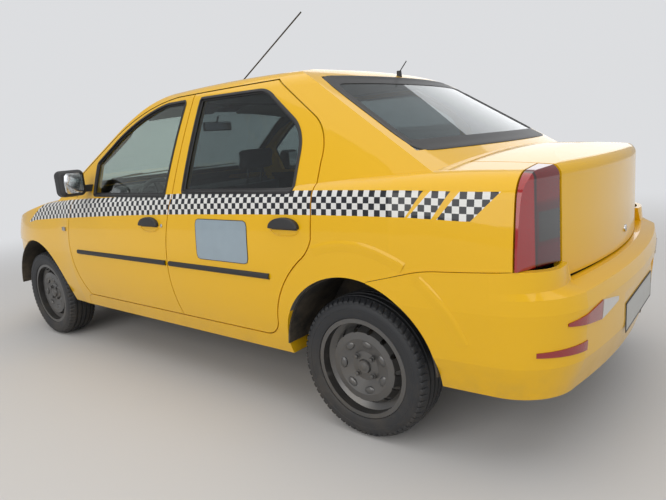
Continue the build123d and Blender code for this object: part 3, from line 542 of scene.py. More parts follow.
def makePaint(name, striped=False, lined=False, scuffed=False, dust=0.22):
    material, tree, shader = newMaterial(name)
    place, x, y, z = objectPlace(tree)
    yellow = paintLook["yellow"]
    tone = times(noiseAt(place, 2.2, 2.0), 0.25)
    colour = mixColour(tone, yellow, tuple(part * 0.86 for part in yellow))
    if striped:
        band = placeGroup(tree, stripeGroup)
        check = mixColour(band["white"], paintLook["black"], paintLook["white"])
        colour = mixColour(band["band"], colour, check)
    if scuffed:  # bare plastic where the corner has been rubbed
        fromHub = calc("POWER", calc("SUBTRACT", y, wheelLook["frontY"]), 2.0)
        aboveHub = calc("POWER", calc("SUBTRACT", z, wheelLook["z"]), 2.0)
        radial = calc("SQRT", calc("ADD", fromHub, aboveHub))
        nearTop = spreadOf(calc("ABSOLUTE", calc("SUBTRACT", z, 0.54)), 0.09, 0.04)
        torn = spreadOf(noiseAt(place, 45.0, 5.0, 0.7), 0.44, 0.54)
        rubbed = times(spreadOf(radial, 0.425, 0.385), nearTop, calc("GREATER_THAN", x, 0.7), torn)
        colour = mixColour(rubbed, colour, paintLook["scuff"])
    if lined:  # the inner side wears grey trim
        facing = partsOf(tree.nodes.new("ShaderNodeNewGeometry").outputs["True Normal"])
        inward = calc("LESS_THAN", times(facing[0], calc("SIGN", x)), -0.25)
        inner = calc("MAXIMUM", inward, calc("LESS_THAN", facing[2], -0.4))
        cabin = calc("LESS_THAN", calc("ABSOLUTE", calc("SUBTRACT", y, 0.2)), 1.3)
        cabin = times(inner, calc("GREATER_THAN", z, 0.5), cabin)
        colour = mixColour(cabin, colour, paintLook["trim"])
    dirt = placeGroup(tree, dustGroup, amount=dust, height=0.5)
    rough = calc("MULTIPLY_ADD", dirt["mask"], 0.5, 0.26)
    setSockets(shader, Base_Color=mixColour(dirt["mask"], colour, paintLook["dust"]),
               Roughness=calc("MULTIPLY_ADD", dirt["grime"], 0.06, rough), IOR=1.3,
               Coat_Weight=times(outOf(dirt["mask"]), paintLook["coat"]), Coat_Roughness=0.03)
    return material


def makeGlass(name, tint, rearPaintedShade=None):
    material, tree, shader = newMaterial(name)
    setSockets(shader, Base_Color=tint, Roughness=0.0, IOR=1.45, Transmission_Weight=1.0)
    if rearPaintedShade:  # the rear screen is darker: painted shade of the dark surroundings seen through it
        rear = calc("GREATER_THAN", objectPlace(tree)[2], 0.5)
        setSockets(shader, Base_Color=mixColour(rear, tint, rearPaintedShade))
    return material


tailLook = {"bright": (0.42, 0.002, 0.003), "inner": (0.075, 0.001, 0.003), "head": (0.19, 0.002, 0.004),
            "foot": (0.1, 0.002, 0.01), "dark": (0.02, 0.001, 0.002), "smoke": (0.03, 0.036, 0.033),
            "upper": (0.925, 0.955), "lower": (0.806, 0.798), "groove": (0.722, 0.728),
            "side": (0.732, 0.742), "windowX": (0.572, 0.716), "windowZ": (0.816, 0.911), "ribs": 900.0}


def makeTailLens(name):  # bright red round the side, darker towards the lid, with a smoked window
    look = tailLook
    material, tree, shader = newMaterial(name)
    place, x, y, z = objectPlace(tree)
    across = calc("ABSOLUTE", x)
    window = times(inside(across, *look["windowX"]), inside(z, *look["windowZ"]))
    ribs = calc("ABSOLUTE", calc("SINE", times(z, look["ribs"])))
    colour = look["inner"]
    for share, tone in ((spreadOf(z, *look["upper"]), "head"), (spreadOf(z, *look["lower"]), "foot"),
                        (spreadOf(across, *look["groove"]), "dark"),
                        (spreadOf(across, *look["side"]), "bright"),
                        (window, "smoke"), (times(ribs, 0.35), "dark")):
        colour = mixColour(share, colour, look[tone])
    setSockets(shader, Base_Color=colour, Roughness=0.08, Coat_Weight=1.0, IOR=1.5)
    return material


seatPlace, seamReach = 0.37, 0.15


def makePlain(name, colour, roughness, metallic=0.0, coat=0.0, dust=0.0, dustHeight=0.6, grain=0.0, weave=0.0,
              spread=0.0, insert=None):
    material, tree, shader = newMaterial(name)
    place, x, y, z = objectPlace(tree)
    blotch = times(noiseAt(place, 14.0, 4.0), 0.5 + spread)
    surface = mixColour(blotch, colour, tuple(part * (0.7 - spread * 0.4) for part in colour))
    if dust:
        mask = placeGroup(tree, dustGroup, amount=dust, height=dustHeight)["mask"]
        surface = mixColour(mask, surface, paintLook["dust"])
        roughness = calc("MULTIPLY_ADD", mask, 0.35, roughness, clamp=True)
    bump = tree.nodes.new("ShaderNodeBump")
    setSockets(bump, Strength=0.12, Distance=0.0006)
    if grain:
        setSockets(bump, Height=placeGroup(tree, grainGroup, size=grain)["height"])
    if weave:
        cloth = placeGroup(tree, weaveGroup, threads=weave)
        setSockets(bump, Height=cloth["height"])
        setSockets(shader, Sheen_Weight=0.3)
        surface = mixColour(times(cloth["shade"], 0.5), surface, tuple(part * 1.5 for part in colour))
    if grain or weave:
        setSockets(shader, Normal=bump.outputs[0])
    if insert:  # a lighter panel between the seams
        away = calc("SUBTRACT", calc("ABSOLUTE", x), seatPlace)
        middle = calc("LESS_THAN", calc("ABSOLUTE", away), seamReach)
        surface = mixColour(middle, surface, insert)
    setSockets(shader, Base_Color=surface, Roughness=roughness, Metallic=metallic, Coat_Weight=coat)
    return material


bodyPaint = makePaint("taxiYellow", striped=True, lined=True)
panelPaint = makePaint("panelYellow", striped=True)
bumperPaint = makePaint("bumperYellow", scuffed=True, dust=0.45)
tailLens = makeTailLens("tailLens")
clearGlass = makeGlass("clearGlass", (0.62, 0.7, 0.66), (0.24, 0.28, 0.28))
# rear door glass darkened: painted shade of the dark surroundings seen through it
darkGlass = makeGlass("darkGlass", (0.17, 0.205, 0.215))
lensGlass = makeGlass("lampLens", (0.95, 0.96, 0.96))
sealRubber = makePlain("sealRubber", (0.012, 0.012, 0.013), 0.45)
blackPlastic = makePlain("blackPlastic", (0.022, 0.022, 0.024), 0.5, grain=900.0)
shinyBlack = makePlain("shinyBlack", (0.012, 0.012, 0.014), 0.18, coat=0.6)
linerPlastic = makePlain("linerPlastic", (0.018, 0.017, 0.016), 0.8, dust=0.8, dustHeight=0.9)
underMetal = makePlain("underMetal", (0.035, 0.034, 0.033), 0.65, dust=0.8, dustHeight=0.7)
castMetal = makePlain("castMetal", (0.19, 0.18, 0.17), 0.55, metallic=0.8, spread=0.3)
rustySteel = makePlain("rustySteel", (0.13, 0.085, 0.055), 0.7, metallic=0.6, spread=0.4, dust=0.4)
wheelSteel = makePlain("wheelSteel", (0.15, 0.15, 0.15), 0.3, metallic=0.75, dust=0.18, dustHeight=0.75)
tyreRubber = makePlain("tyreRubber", (0.02, 0.022, 0.026), 0.55, dust=0.16, dustHeight=0.5)
brightMetal = makePlain("brightMetal", (0.62, 0.62, 0.62), 0.16, metallic=1.0)
redLens = makePlain("redLens", (0.3, 0.004, 0.006), 0.1, coat=1.0)
whiteLens = makePlain("whiteLens", (0.6, 0.58, 0.55), 0.15, coat=1.0)
greyLens = makePlain("greyLens", (0.16, 0.14, 0.13), 0.15, coat=1.0)
amberLens = makePlain("amberLens", (0.55, 0.16, 0.01), 0.12, coat=1.0)
reflectorSilver = makePlain("reflectorSilver", (0.75, 0.76, 0.78), 0.12, metallic=1.0)
seatCloth = makePlain("seatCloth", (0.055, 0.055, 0.062), 0.9, weave=900.0, insert=(0.13, 0.13, 0.145))
seatInsert = makePlain("seatInsert", (0.12, 0.12, 0.135), 0.92, weave=650.0)
carpetCloth = makePlain("carpetCloth", (0.03, 0.03, 0.032), 0.95, weave=380.0)
roofCloth = makePlain("roofCloth", (0.42, 0.41, 0.39), 0.95, weave=500.0)
signPanel = makePlain("signPanel", (0.3, 0.38, 0.44), 0.3, coat=0.7)
plateFace = makePlain("plateFace", (0.42, 0.43, 0.41), 0.35, coat=0.4, dust=0.4)
print("materials made")


# The frame's own forms are smooth enough to be seen, and are painted

panelTable = [
    (bodyPaint, "body_frame"),
    (panelPaint, "wings bonnet boot_lid front_door_left front_door_right rear_door_left rear_door_right"),
    (bumperPaint, "front_bumper rear_bumper"),
    (clearGlass, "screens front_door_glass_left front_door_glass_right"),
    (darkGlass, "rear_door_glass_left rear_door_glass_right"),
    (shinyBlack, "grille"),
    (tailLens, "tail_lamps"),
    (linerPlastic, "liners"),
    (underMetal, "floor_pan bulkhead front_frame front_suspension rear_axle fuel_tank seat_rails"),
    (rustySteel, "exhaust"),
    (castMetal, "knuckle_left knuckle_right engine"),
    (blackPlastic, "steering_column steering_wheel dashboard aerials mirror_left mirror_right"),
    (plateFace, "plates"),
    (wheelSteel, "front_rim_left front_rim_right rear_rim_left rear_rim_right"),
]
for material, nodeNames in panelTable:
    for nodeName in nodeNames.split():
        nodes[nodeName].data.materials.clear()
        nodes[nodeName].data.materials.append(material)
print("panels dressed")


# Rubber round the glass

sealLook = {
    "rays": 240, "search": (0.03, 1.3), "halvings": 14, "points": 220, "thickness": 0.0025,
    "doors": ((-0.01, -0.004, -0.001, 0.001, 0.005, 0.011), (0.0015, 0.003, 0.004, 0.0035, 0.003, 0.0012)),
    "screens": ((-0.036, -0.02, -0.006, 0.001, 0.005), (0.0008, 0.001, 0.0015, 0.003, 0.001), 10),
    "panes": {"front": (-0.16, 1.15), "rear": (0.63, 1.18)},
    # place, look, across, up
    "aims": {"front": ((0, -1.9, 1.23), (0, 1, 0), (-1, 0, 0), (0, 0, 1)),
             "rear": ((0, 2.4, 1.27), (0, -1, 0), (1, 0, 0), (0, 0, 1))},
}
for end, middle in sealLook["panes"].items():
    aim = ((1.2, *middle), (-1, 0, 0), (0, 1, 0), (0, 0, 1))
    seal = rimRibbon(end + "_door_glass_left", aim, sealLook, *sealLook["doors"])
    dressBoth(seal, end + "WindowSeal", end + "_door_{}", "black_plastic", sealRubber, 50)
for end, aim in sealLook["aims"].items():
    seal = rimRibbon("screens", aim, sealLook, *sealLook["screens"])
    fitBlack(end + "ScreenSeal", sealRubber, seal, angle=50)
print("seals made")


# Door furniture

handleLook = {"halfLength": 0.08, "flapHeight": 0.044, "bowlDepth": 0.029, "stand": 0.019, "sunk": 0.006,
              "bevel": 0.005, "rim": 0.003, "steps": 20,
              # shade: a thin dark strip under the flap, painted shadow of the flap over the bowl
              "shade": ((-0.072, 0), (0.072, 0), (0.0675, -0.005), (-0.0675, -0.005))}
mouldingLook = {"steps": 26, "section": [(0.0005, 0.63), (0.006, 0.6325), (0.0085, 0.637), (0.0085, 0.647),
                                         (0.006, 0.6515), (0.0005, 0.654)]}
# handle's y and z, moulding's start and stop
trimPlaces = {"front": (0.02, 0.825, -0.751, 0.134), "rear": (0.96, 0.847, 0.163, 0.86)}
for end, (handleY, handleZ, startY, stopY) in trimPlaces.items():
    face = sideSpot(handleY, handleZ).x
    arch = [(handleLook["halfLength"] * math.cos(turn), math.sin(turn) ** 0.8)
            for turn in spaced(0, math.pi, handleLook["steps"])]
    rise = [(handleY + y, handleZ + handleLook["flapHeight"] * z) for y, z in arch]
    flap = slab([(sideSpot(y, z).x - handleLook["sunk"], y, z) for y, z in rise],
                (handleLook["stand"] + handleLook["sunk"], 0, 0), handleLook["bevel"], 4)
    bowl = wire([sideSpot(handleY + y * 0.97, handleZ - handleLook["bowlDepth"] * z - 0.001)
                 for y, z in arch], handleLook["rim"])
    # a dark strip just under the flap's foot: painted shadow cast by the flap over the bowl
    shade = slab([(face - 0.004, handleY + y, handleZ - 0.001 + z) for y, z in handleLook["shade"]],
                 (0.006, 0, 0), 0.0008, 1)
    strip = gridSheet([[sideSpot(y, z, lift) for lift, z in mouldingLook["section"]]
                       for y in spaced(startY, stopY, mouldingLook["steps"])], 0.002)
    parts = [("Flap", flap, blackPlastic, "black_plastic"), ("Bowl", bowl, panelPaint, "yellow_paint"),
             ("Shade", shade, sealRubber, "black_plastic"),
             ("Moulding", strip, blackPlastic, "black_plastic")]
    if end == "front":
        lock = drum((face + 0.0015, handleY + 0.105, handleZ + 0.004), (1, 0, 0), 0.009, 0.006, 24, 0.0015)
        parts.append(("Lock", lock, brightMetal, "black_plastic"))
    for label, piece, material, slotName in parts:
        dressBoth(piece, end + "Door" + label, end + "_door_{}", slotName, material,
                  stands=(end + "_door_trim_{}",) if label == "Flap" else ())

mirrorLook = {"y": -0.5715, "thickness": 0.0045, "bevel": 0.0021, "outline": [
    (0.875, 0.998), (0.955, 0.998), (0.966, 1.01), (0.968, 1.06), (0.962, 1.098), (0.948, 1.11),
    (0.875, 1.108), (0.864, 1.098), (0.862, 1.01)]}
mirrorFace = slab([(x, mirrorLook["y"], z) for x, z in mirrorLook["outline"]],
                  (0, mirrorLook["thickness"], 0), mirrorLook["bevel"])
dressBoth(mirrorFace, "mirrorGlass", "front_door_{}", "black_plastic", reflectorSilver, 30)
bootLock = drum(endSpot(0.0, 0.74), (0, 1, 0), 0.015, 0.012, 32, 0.002)
dress(bootLock, "bootLock", "boot_lid", "black_plastic", brightMetal)
print("door furniture made")


# Lamps

headLook = {"pivot": (0.25, -1.45), "degrees": (-70.5, -33.0, 18), "heights": (0.664, 0.766, 8),
            "lensThick": 0.003, "sunk": 0.0018, "trayRim": 0.0055, "trayDepth": 0.036, "flasherDepth": 0.02,
            "bowls": ((0.535, 0.043, 0.715), (0.635, 0.04, 0.715))}
degreeSteps, levels = spaced(*headLook["degrees"]), spaced(*headLook["heights"])


def headSheet(across, along, depthAt, thickness):
    def spotAt(degrees, z):
        return radialSpot(headLook["pivot"], degrees, z, -depthAt(degrees, z))
    return sheetOver(across, along, spotAt, thickness)


def trayDepth(degrees, z):  # its rim meets the lens
    atRim = degrees in (degreeSteps[0], degreeSteps[-1]) or z in (levels[0], levels[-1])
    return headLook["trayRim" if atRim else "trayDepth"]


lens = headSheet(degreeSteps, levels, lambda degrees, z: headLook["sunk"], headLook["lensThick"])
tray = headSheet(degreeSteps, levels, trayDepth, 0.0015)
bowls = []
for bowlX, bowlR, bowlZ in headLook["bowls"]:
    front = endSpot(bowlX, bowlZ, -1).y + 0.012
    profile = [(bowlX + bowlR * share, front + 0.03 - 0.026 * share ** 2, bowlZ)
               for share in spaced(0, 1, 6)]
    bowl = turned(profile, (bowlX, 0, bowlZ), (0, 1, 0), 40)
    bulb = drum((bowlX, front + 0.018, bowlZ), (0, 1, 0), 0.008, 0.022, 20, 0.003)
    bowls += [applyModifier(bowl, "SOLIDIFY", thickness=0.001, offset=0), bulb]
flasher = headSheet(spaced(-50, -36, 7), spaced(0.675, 0.755, 4),
                    lambda degrees, z: headLook["flasherDepth"], 0.004)
for label, piece, material in (("Lens", lens, lensGlass), ("Tray", tray, reflectorSilver),
                               ("Bowls", joinAll(bowls), reflectorSilver), ("Flasher", flasher, amberLens)):
    dressBoth(piece, "headlamp" + label, "shell", "lamp_clear", material,
              stands=("headlamps",) if label == "Tray" else ())


def patchOn(pivot, start, stop, foot, head, lift, thickness):  # foot and head run straight between their ends
    def spotAt(along, up):
        low, high = (ends[0] + (ends[1] - ends[0]) * along for ends in (foot, head))
        return radialSpot(pivot, start + (stop - start) * along, low + (high - low) * up, lift)
    return sheetOver(spaced(0, 1, 14), spaced(0, 1, 6), spotAt, thickness)


# slot, material; pivot, from and to in degrees, foot heights, head heights, lift, thickness
patchTable = {
    "bumperLampRed": ("lamp_red", redLens, (0.2, 1.5), 59, 44, (0.53, 0.556), (0.598, 0.566), 0.0015, 0.005),
    "bumperLampWhite": ("lamp_clear", whiteLens, (0.2, 1.5), 72, 59.4, (0.556, 0.53), (0.572, 0.598), 0.0015,
                        0.005),
    "bumperReflector": ("lamp_red", redLens, (0.2, 1.5), 51.5, 36, (0.452, 0.462), (0.486, 0.478), 0.0012,
                        0.004),
    "sideRepeater": ("lamp_clear", greyLens, (0.2, -0.9), 1.9, -1.9, (0.762, 0.762), (0.784, 0.784), 0.003,
                     0.007),
}
for name, (slotName, material, *shape) in patchTable.items():
    dressBoth(patchOn(*shape), name, "shell", slotName, material)
print("lamps made")


# Wheels

treadLook = {"steps": 96, "lugs": 64, "lug": ((0.056, -0.0105, 0.27), (0.0865, 0.0105, 0.2815), 0.003, 1),
             "half": [
    (0.0, 0.2909), (0.01, 0.2909), (0.0115, 0.2835), (0.0185, 0.2835), (0.02, 0.2902), (0.04, 0.2893),
    (0.0415, 0.2825), (0.0485, 0.282), (0.05, 0.2885), (0.0585, 0.2875), (0.066, 0.2805), (0.078, 0.2745),
    (0.085, 0.269), (0.0895, 0.26), (0.092, 0.248), (0.0915, 0.244), (0.0905, 0.243), (0.0895, 0.226),
    (0.087, 0.215), (0.0835, 0.2075), (0.076, 0.2055), (0.066, 0.1935)]}
half = treadLook["half"]
profile = [(-x, 0, r) for x, r in reversed(half[1:])] + [(x, 0, r) for x, r in half]
tyreBase = turned(profile, (0, 0, 0), (1, 0, 0), treadLook["steps"])
lug = softBox(*treadLook["lug"])
for vertex in lug.data.vertices:  # the lug follows the falling shoulder
    outer = (vertex.co.x - 0.056) / 0.0305
    vertex.co.z += 0.008 - 0.0125 * outer if vertex.co.z > 0.276 else -0.01 * outer
    vertex.co.y += 0.006 * outer
editAll(lug)
bpy.ops.mesh.spin(steps=treadLook["lugs"], dupli=True, angle=2 * math.pi, center=(0, 0, 0), axis=(1, 0, 0))
mergeDoubles()
leaveEdit()
tyreModel = joinAll([tyreBase, lug, mirrorAcross(lug)])

hubLook = {"cap": ((0.064, 0, 0), (0.0635, 0, 0.012), (0.06, 0, 0.021), (0.053, 0, 0.0255),
                   (0.048, 0, 0.027)),
           "boltRing": 0.05, "bulges": 7, "bulgeRing": 0.098, "bulge": (0.0085, 0.024, 0.016)}
hubParts = [turned(hubLook["cap"], (0, 0, 0), (1, 0, 0), 36)]
for degrees in (45, 135, 225, 315):
    spot = around((0, 0), hubLook["boltRing"], degrees)
    hubParts += [drum((0.056, *spot), (1, 0, 0), 0.0095, 0.014, 6, 0.0012),
                 drum((0.05, *spot), (1, 0, 0), 0.0125, 0.004, 24, 0.001)]
for degrees in spaced(180 / hubLook["bulges"], 360 - 180 / hubLook["bulges"], hubLook["bulges"] - 1):
    centre = (0.0575, *around((0, 0), hubLook["bulgeRing"], degrees))  # pressed between hub and holes
    hubParts.append(ball(centre, hubLook["bulge"], math.radians(degrees + 90), 20, 10))
valve = wire([(0.052, 0, 0.176), (0.06, 0, 0.172), (0.082, 0, 0.168)], 0.0035)
models = [("Tyre", tyreModel, tyreRubber, "tyre_rubber"),
          ("Hub", joinAll(hubParts), wheelSteel, "wheel_steel"),
          ("Valve", valve, sealRubber, "tyre_rubber")]
for end in ("front", "rear"):
    for side, sign in (("left", 1), ("right", -1)):
        for part, model, material, slotName in models:
            piece = copyOf(model) if sign > 0 else mirrorAcross(model)
            piece.location = (sign * wheelLook["x"], wheelLook[end + "Y"], wheelLook["z"])
            dress(piece, end + "Wheel" + side.title() + part, end + "_wheel_" + side, slotName, material, 35,
                  (end + "_tyre_" + side,) if part == "Tyre" else ())
for part, model, material, slotName in models:
    bpy.data.objects.remove(model)
print("wheels made")


# Sign panel, fuel flap, plate frames, wipers

signLook = {"y": (0.393, 0.738, 16), "z": (0.685, 0.87, 8), "lift": 0.0012, "thickness": 0.0014,
            "corner": 0.006, "border": 0.0016}
ys, zs = spaced(*signLook["y"]), spaced(*signLook["z"])


def signSpot(y, z):
    if y in (ys[0], ys[-1]) and z in (zs[0], zs[-1]):  # clipped corners
        y += signLook["corner"] * (1 if y == ys[0] else -1)
        z += signLook["corner"] * (1 if z == zs[0] else -1)
    return sideSpot(y, z, signLook["lift"])


rows = [[signSpot(y, z) for y in ys] for z in zs]
sign = gridSheet(rows, signLook["thickness"])
edge = rows[0] + [row[-1] for row in rows[1:]] + rows[-1][-2::-1] + [row[0] for row in rows[-2:0:-1]]
border = wire(edge, signLook["border"], closed=True, smooth=False)
dressBoth(border, "signBorder", "rear_door_{}", "black_plastic", blackPlastic)
dressBoth(sign, "signPanel", "rear_door_{}", "plate_metal", signPanel)

flareLook = {"centre": (1.265, 0.32), "degrees": range(20, 149, 2), "thickness": 0.0004,
             "radii": (0.452, 0.464, 0.474, 0.482, 0.487, 0.491, 0.495),
             "lifts": (0.0002, 0.0016, 0.0026, 0.003, 0.0026, 0.0014, 0.0001)}
strips = {"body_frame": [], "rear_bumper": []}  # the seam between the two stays open
for degrees in flareLook["degrees"]:
    row, owners = [], set()
    for radius, lift in zip(flareLook["radii"], flareLook["lifts"]):
        spot, owner = strike((1.2, *around(flareLook["centre"], radius, degrees)), (-1, 0, 0))
        owners.add(owner)
        row.append(spot and spot + Vector((lift, 0, 0)))
    if len(owners) == 1 and owner in strips:
        strips[owner].append(row)
flare = joinAll([gridSheet(strip, flareLook["thickness"]) for strip in strips.values() if len(strip) > 1])
dressBoth(flare, "archFlare", "shell", "yellow_paint", panelPaint, 60)

flapLook = {"centre": (1.47, 0.8), "degrees": range(0, 360, 6), "thickness": 0.0006,
            "radii": (0.0795, 0.0805, 0.0825, 0.0835), "lifts": (0.0002, 0.0006, 0.0006, 0.0002)}
rows = [[sideSpot(*around(flapLook["centre"], radius, degrees), lift, -1)
         for radius, lift in zip(flapLook["radii"], flapLook["lifts"])] for degrees in flapLook["degrees"]]
fitBlack("fuelFlapSeam", sealRubber, gridSheet(rows, flapLook["thickness"], closed=True), angle=50)

# half width, foot z, head z, face y, direction
plateLook = {"rear": (0.262, 0.3925, 0.5075, 2.0815, 1), "front": (0.2605, 0.3718, 0.4842, -2.0978, -1),
             "border": 0.007, "depth": 0.0022}
for end in ("rear", "front"):
    wide, low, high, faceY, way = plateLook[end]
    border = plateLook["border"]
    near, far = sorted((faceY, faceY + way * plateLook["depth"]))
    spans = ((-wide, wide, low, low + border), (-wide, wide, high - border, high),
             (-wide, -wide + border, low, high), (wide - border, wide, low, high))
    bars = [softBox((x0, near, z0), (x1, far, z1), 0.0008, 1) for x0, x1, z0, z1 in spans]
    fitBlack(end + "PlateFrame", sealRubber, *bars)

onScreen, onCowl = casterFor("screens"), casterFor("body_frame")
scuttleLook = {"reach": 0.54, "steps": 36, "start": -1.0645, "stop": -1.049, "sweep": 0.16,
               "shares": (0.0, 0.2, 0.8, 1.0), "rise": (0.0006, 0.0022, 0.0026, 0.0006)}
rows = []
for x in spaced(-scuttleLook["reach"], scuttleLook["reach"], scuttleLook["steps"]):
    start, stop = scuttleLook["start"], scuttleLook["stop"] + scuttleLook["sweep"] * x * x
    rows.append([onCowl((x, start + (stop - start) * share, 1.3), (0, 0, -1)) + Vector((0, 0, rise))
                 for share, rise in zip(scuttleLook["shares"], scuttleLook["rise"])])
fitBlack("scuttleTrim", blackPlastic, gridSheet(rows, 0.001))

wiperLook = {"pivots": {"left": (0.5, -1.022), "right": (-0.04, -1.056)}, "reach": 0.5, "inset": 0.03,
             "bladeZ": (1.034, 1.052), "bladeRadius": 0.0035, "armRadius": 0.0045, "bladeLift": 0.006}
for side, (pivotX, pivotY) in wiperLook["pivots"].items():
    foot = onCowl((pivotX, pivotY, 1.3), (0, 0, -1))
    pivot = drum(foot + Vector((0, 0, 0.008)), (0, -0.4, 0.9), 0.012, 0.022, 24, 0.003)
    startX, lift = pivotX - wiperLook["inset"], Vector((0, -wiperLook["bladeLift"], wiperLook["bladeLift"]))
    blade = [onScreen((x, -2.6, z), (0, 1, 0)) + lift
             for x, z in zip(spaced(startX, startX - wiperLook["reach"], 12),
                             spaced(*wiperLook["bladeZ"], 12))]
    rubber = wire(blade, wiperLook["bladeRadius"])
    arm = wire([foot + Vector((0, 0, 0.018)), blade[2] + Vector((0, -0.01, 0.01)),
                blade[6] + Vector((0, -0.004, 0.005))], wiperLook["armRadius"])
    fitBlack(side + "Wiper", sealRubber, pivot, arm, rubber)
print("outer trim made")


# Cabin trim


def lyingOver(look, cast):  # a sheet held off a surface that is met from above or below
    def spotAt(x, y):
        return cast((x, y, look["from"]), (0, 0, look["way"])) - Vector((0, 0, look["way"] * look["off"]))
    return sheetOver(spaced(*look["x"]), spaced(*look["y"]), spotAt, look["thickness"])


linerLook = {"x": (-0.56, 0.56, 16), "y": (-0.1, 0.92, 14), "from": 1.2, "way": 1, "off": 0.007,
             "thickness": 0.003}
dress(lyingOver(linerLook, onCowl), "roofLining", "shell", "seat_cloth", roofCloth, 60)
carpetLook = {"x": (-0.66, 0.66, 24), "y": (-0.8, 0.5, 26), "from": 0.9, "way": -1, "off": 0.006,
              "thickness": 0.006}
dress(lyingOver(carpetLook, casterFor("floor_pan")), "cabinCarpet", "shell", "seat_cloth", carpetCloth, 60)
shelfLook = {"low": (-0.55, 1.275, 1.066), "high": (0.55, 1.475, 1.08), "bevel": 0.005}
dress(softBox(*shelfLook.values()), "parcelShelf", "shell", "seat_cloth", carpetCloth)
visorLook = {"x": (0.1, 0.56, 10), "y": (-0.3, -0.13, 5), "from": 1.2, "way": 1, "off": 0.02,
             "thickness": 0.014}
visor = lyingOver(visorLook, casterFor("body_frame", "screens"))
applyModifier(visor, "BEVEL", width=0.004, segments=2, limit_method="ANGLE")
dressBoth(visor, "sunVisor", "shell", "seat_cloth", roofCloth, 50)

stem = wire([(0, -0.38, 1.345), (0, -0.372, 1.366), (0, -0.362, 1.382)], 0.006)
shell = softBox((-0.115, -0.392, 1.292), (0.115, -0.366, 1.35), 0.011, 3)
fitBlack("cabinMirror", blackPlastic, shell, stem)
pane = softBox((-0.108, -0.3665, 1.298), (0.108, -0.3645, 1.344), 0.0009, 1)
fitBlack("cabinMirrorGlass", reflectorSilver, pane)

dashLook = {"hood": ((0.205, -0.86, 0.905), (0.535, -0.672, 0.99), 0.03, 4),
            "panel": ((0.232, -0.692, 0.898), (0.508, -0.6685, 0.974), 0.007), "dialZ": 0.937,
            "dials": ((0.3, 0.034), (0.372, 0.022), (0.44, 0.034)), "ventsX": (-0.6, -0.1, 0.1, 0.6),
            "faceTop": (-0.628, 0.84), "faceFoot": (-0.69, 0.64), "knobAxis": (0, 0.955, -0.296)}
fitBlack("dialHood", blackPlastic, softBox(*dashLook["hood"]))
fitBlack("dialPanel", shinyBlack, softBox(*dashLook["panel"]))
rings = []
for dialX, dialR in dashLook["dials"]:
    dialZ, outer = dashLook["dialZ"], dialX + dialR
    section = ((outer - 0.003, -0.669), (outer - 0.003, -0.665), (outer, -0.665), (outer, -0.669))
    rings += [turned([(x, y, dialZ) for x, y in section], (dialX, 0, dialZ), (0, 1, 0), 40),
              softBox((dialX - 0.0012, -0.6682, dialZ), (dialX + 0.0012, -0.6662, dialZ + dialR * 0.8), 0)]
fitBlack("dialRings", brightMetal, *rings)
vents = []
for ventX in dashLook["ventsX"]:
    vents.append(softBox((ventX - 0.047, -0.65, 0.846), (ventX + 0.047, -0.6265, 0.9)))
    vents += [softBox((ventX - 0.04, -0.64, z), (ventX + 0.04, -0.6215, z + 0.003), 0)
              for z in spaced(0.8525, 0.8905, 4)]
fitBlack("dashVents", shinyBlack, *vents)


def facePanel(xLow, xHigh, zLow, zHigh, lift):  # a plate lying on the dashboard's sloping face
    top, foot = dashLook["faceTop"], dashLook["faceFoot"]
    slope = (top[0] - foot[0]) / (top[1] - foot[1])
    push = (lift + 0.002) / math.hypot(1, slope)
    corners = ((xLow, zLow), (xHigh, zLow), (xHigh, zHigh), (xLow, zHigh))
    return slab([(x, foot[0] + (z - foot[1]) * slope - 0.002, z) for x, z in corners],
                (0, push, -slope * push), 0.003)


fitBlack("dashLids", blackPlastic, facePanel(-0.62, -0.17, 0.69, 0.815, 0.007),
         facePanel(0.17, 0.6, 0.66, 0.74, 0.006))
stack = [facePanel(-0.105, 0.105, 0.65, 0.83, 0.01), facePanel(-0.092, 0.092, 0.752, 0.806, 0.014)]
for x in (-0.06, 0.0, 0.06):
    stack.append(drum((x, -0.658, 0.695), dashLook["knobAxis"], 0.019, 0.03, 32, 0.003))
for x in (-0.078, 0.078):
    stack.append(drum((x, -0.63, 0.779), dashLook["knobAxis"], 0.009, 0.016, 24, 0.002))
fitBlack("centreStack", shinyBlack, *stack)
fitBlack("centreConsole", blackPlastic, softBox((-0.095, -0.76, 0.308), (0.095, -0.5, 0.56), 0.03, 3),
         softBox((-0.085, -0.53, 0.308), (0.085, -0.1, 0.395), 0.02, 3))

leverLook = {"y": -0.34, "knob": 0.024, "brakeAxis": (0, -0.93, 0.36), "gaiter": (
    (0.052, 0.392), (0.046, 0.415), (0.03, 0.44), (0.024, 0.47), (0.012, 0.492), (0.01, 0.51))}
gaiter = turned([(x, leverLook["y"], z) for x, z in leverLook["gaiter"]], (0, leverLook["y"], 0),
                (0, 0, 1), 32)
lever = wire([(0, -0.34, 0.48), (0, -0.345, 0.56), (0, -0.36, 0.62)], 0.007, 3)
knob = ball((0, -0.362, 0.63), [leverLook["knob"]] * 3)
brake = wire([(0.0, 0.06, 0.4), (0.0, -0.02, 0.428), (0.0, -0.11, 0.462)], 0.01, 3)
grip = drum((0, -0.085, 0.4525), leverLook["brakeAxis"], 0.015, 0.1, 24, 0.005)
fitBlack("cabinLevers", sealRubber, gaiter, lever, knob, brake, grip, angle=50)
pedals = []
for x in (0.28, 0.37, 0.46):
    pedals += [softBox((x - 0.026, -0.885, 0.398), (x + 0.026, -0.872, 0.458)),
               wire([(x, -0.886, 0.44), (x, -0.895, 0.49), (x, -0.9, 0.55)], 0.006)]
fitBlack("pedals", sealRubber, *pedals)

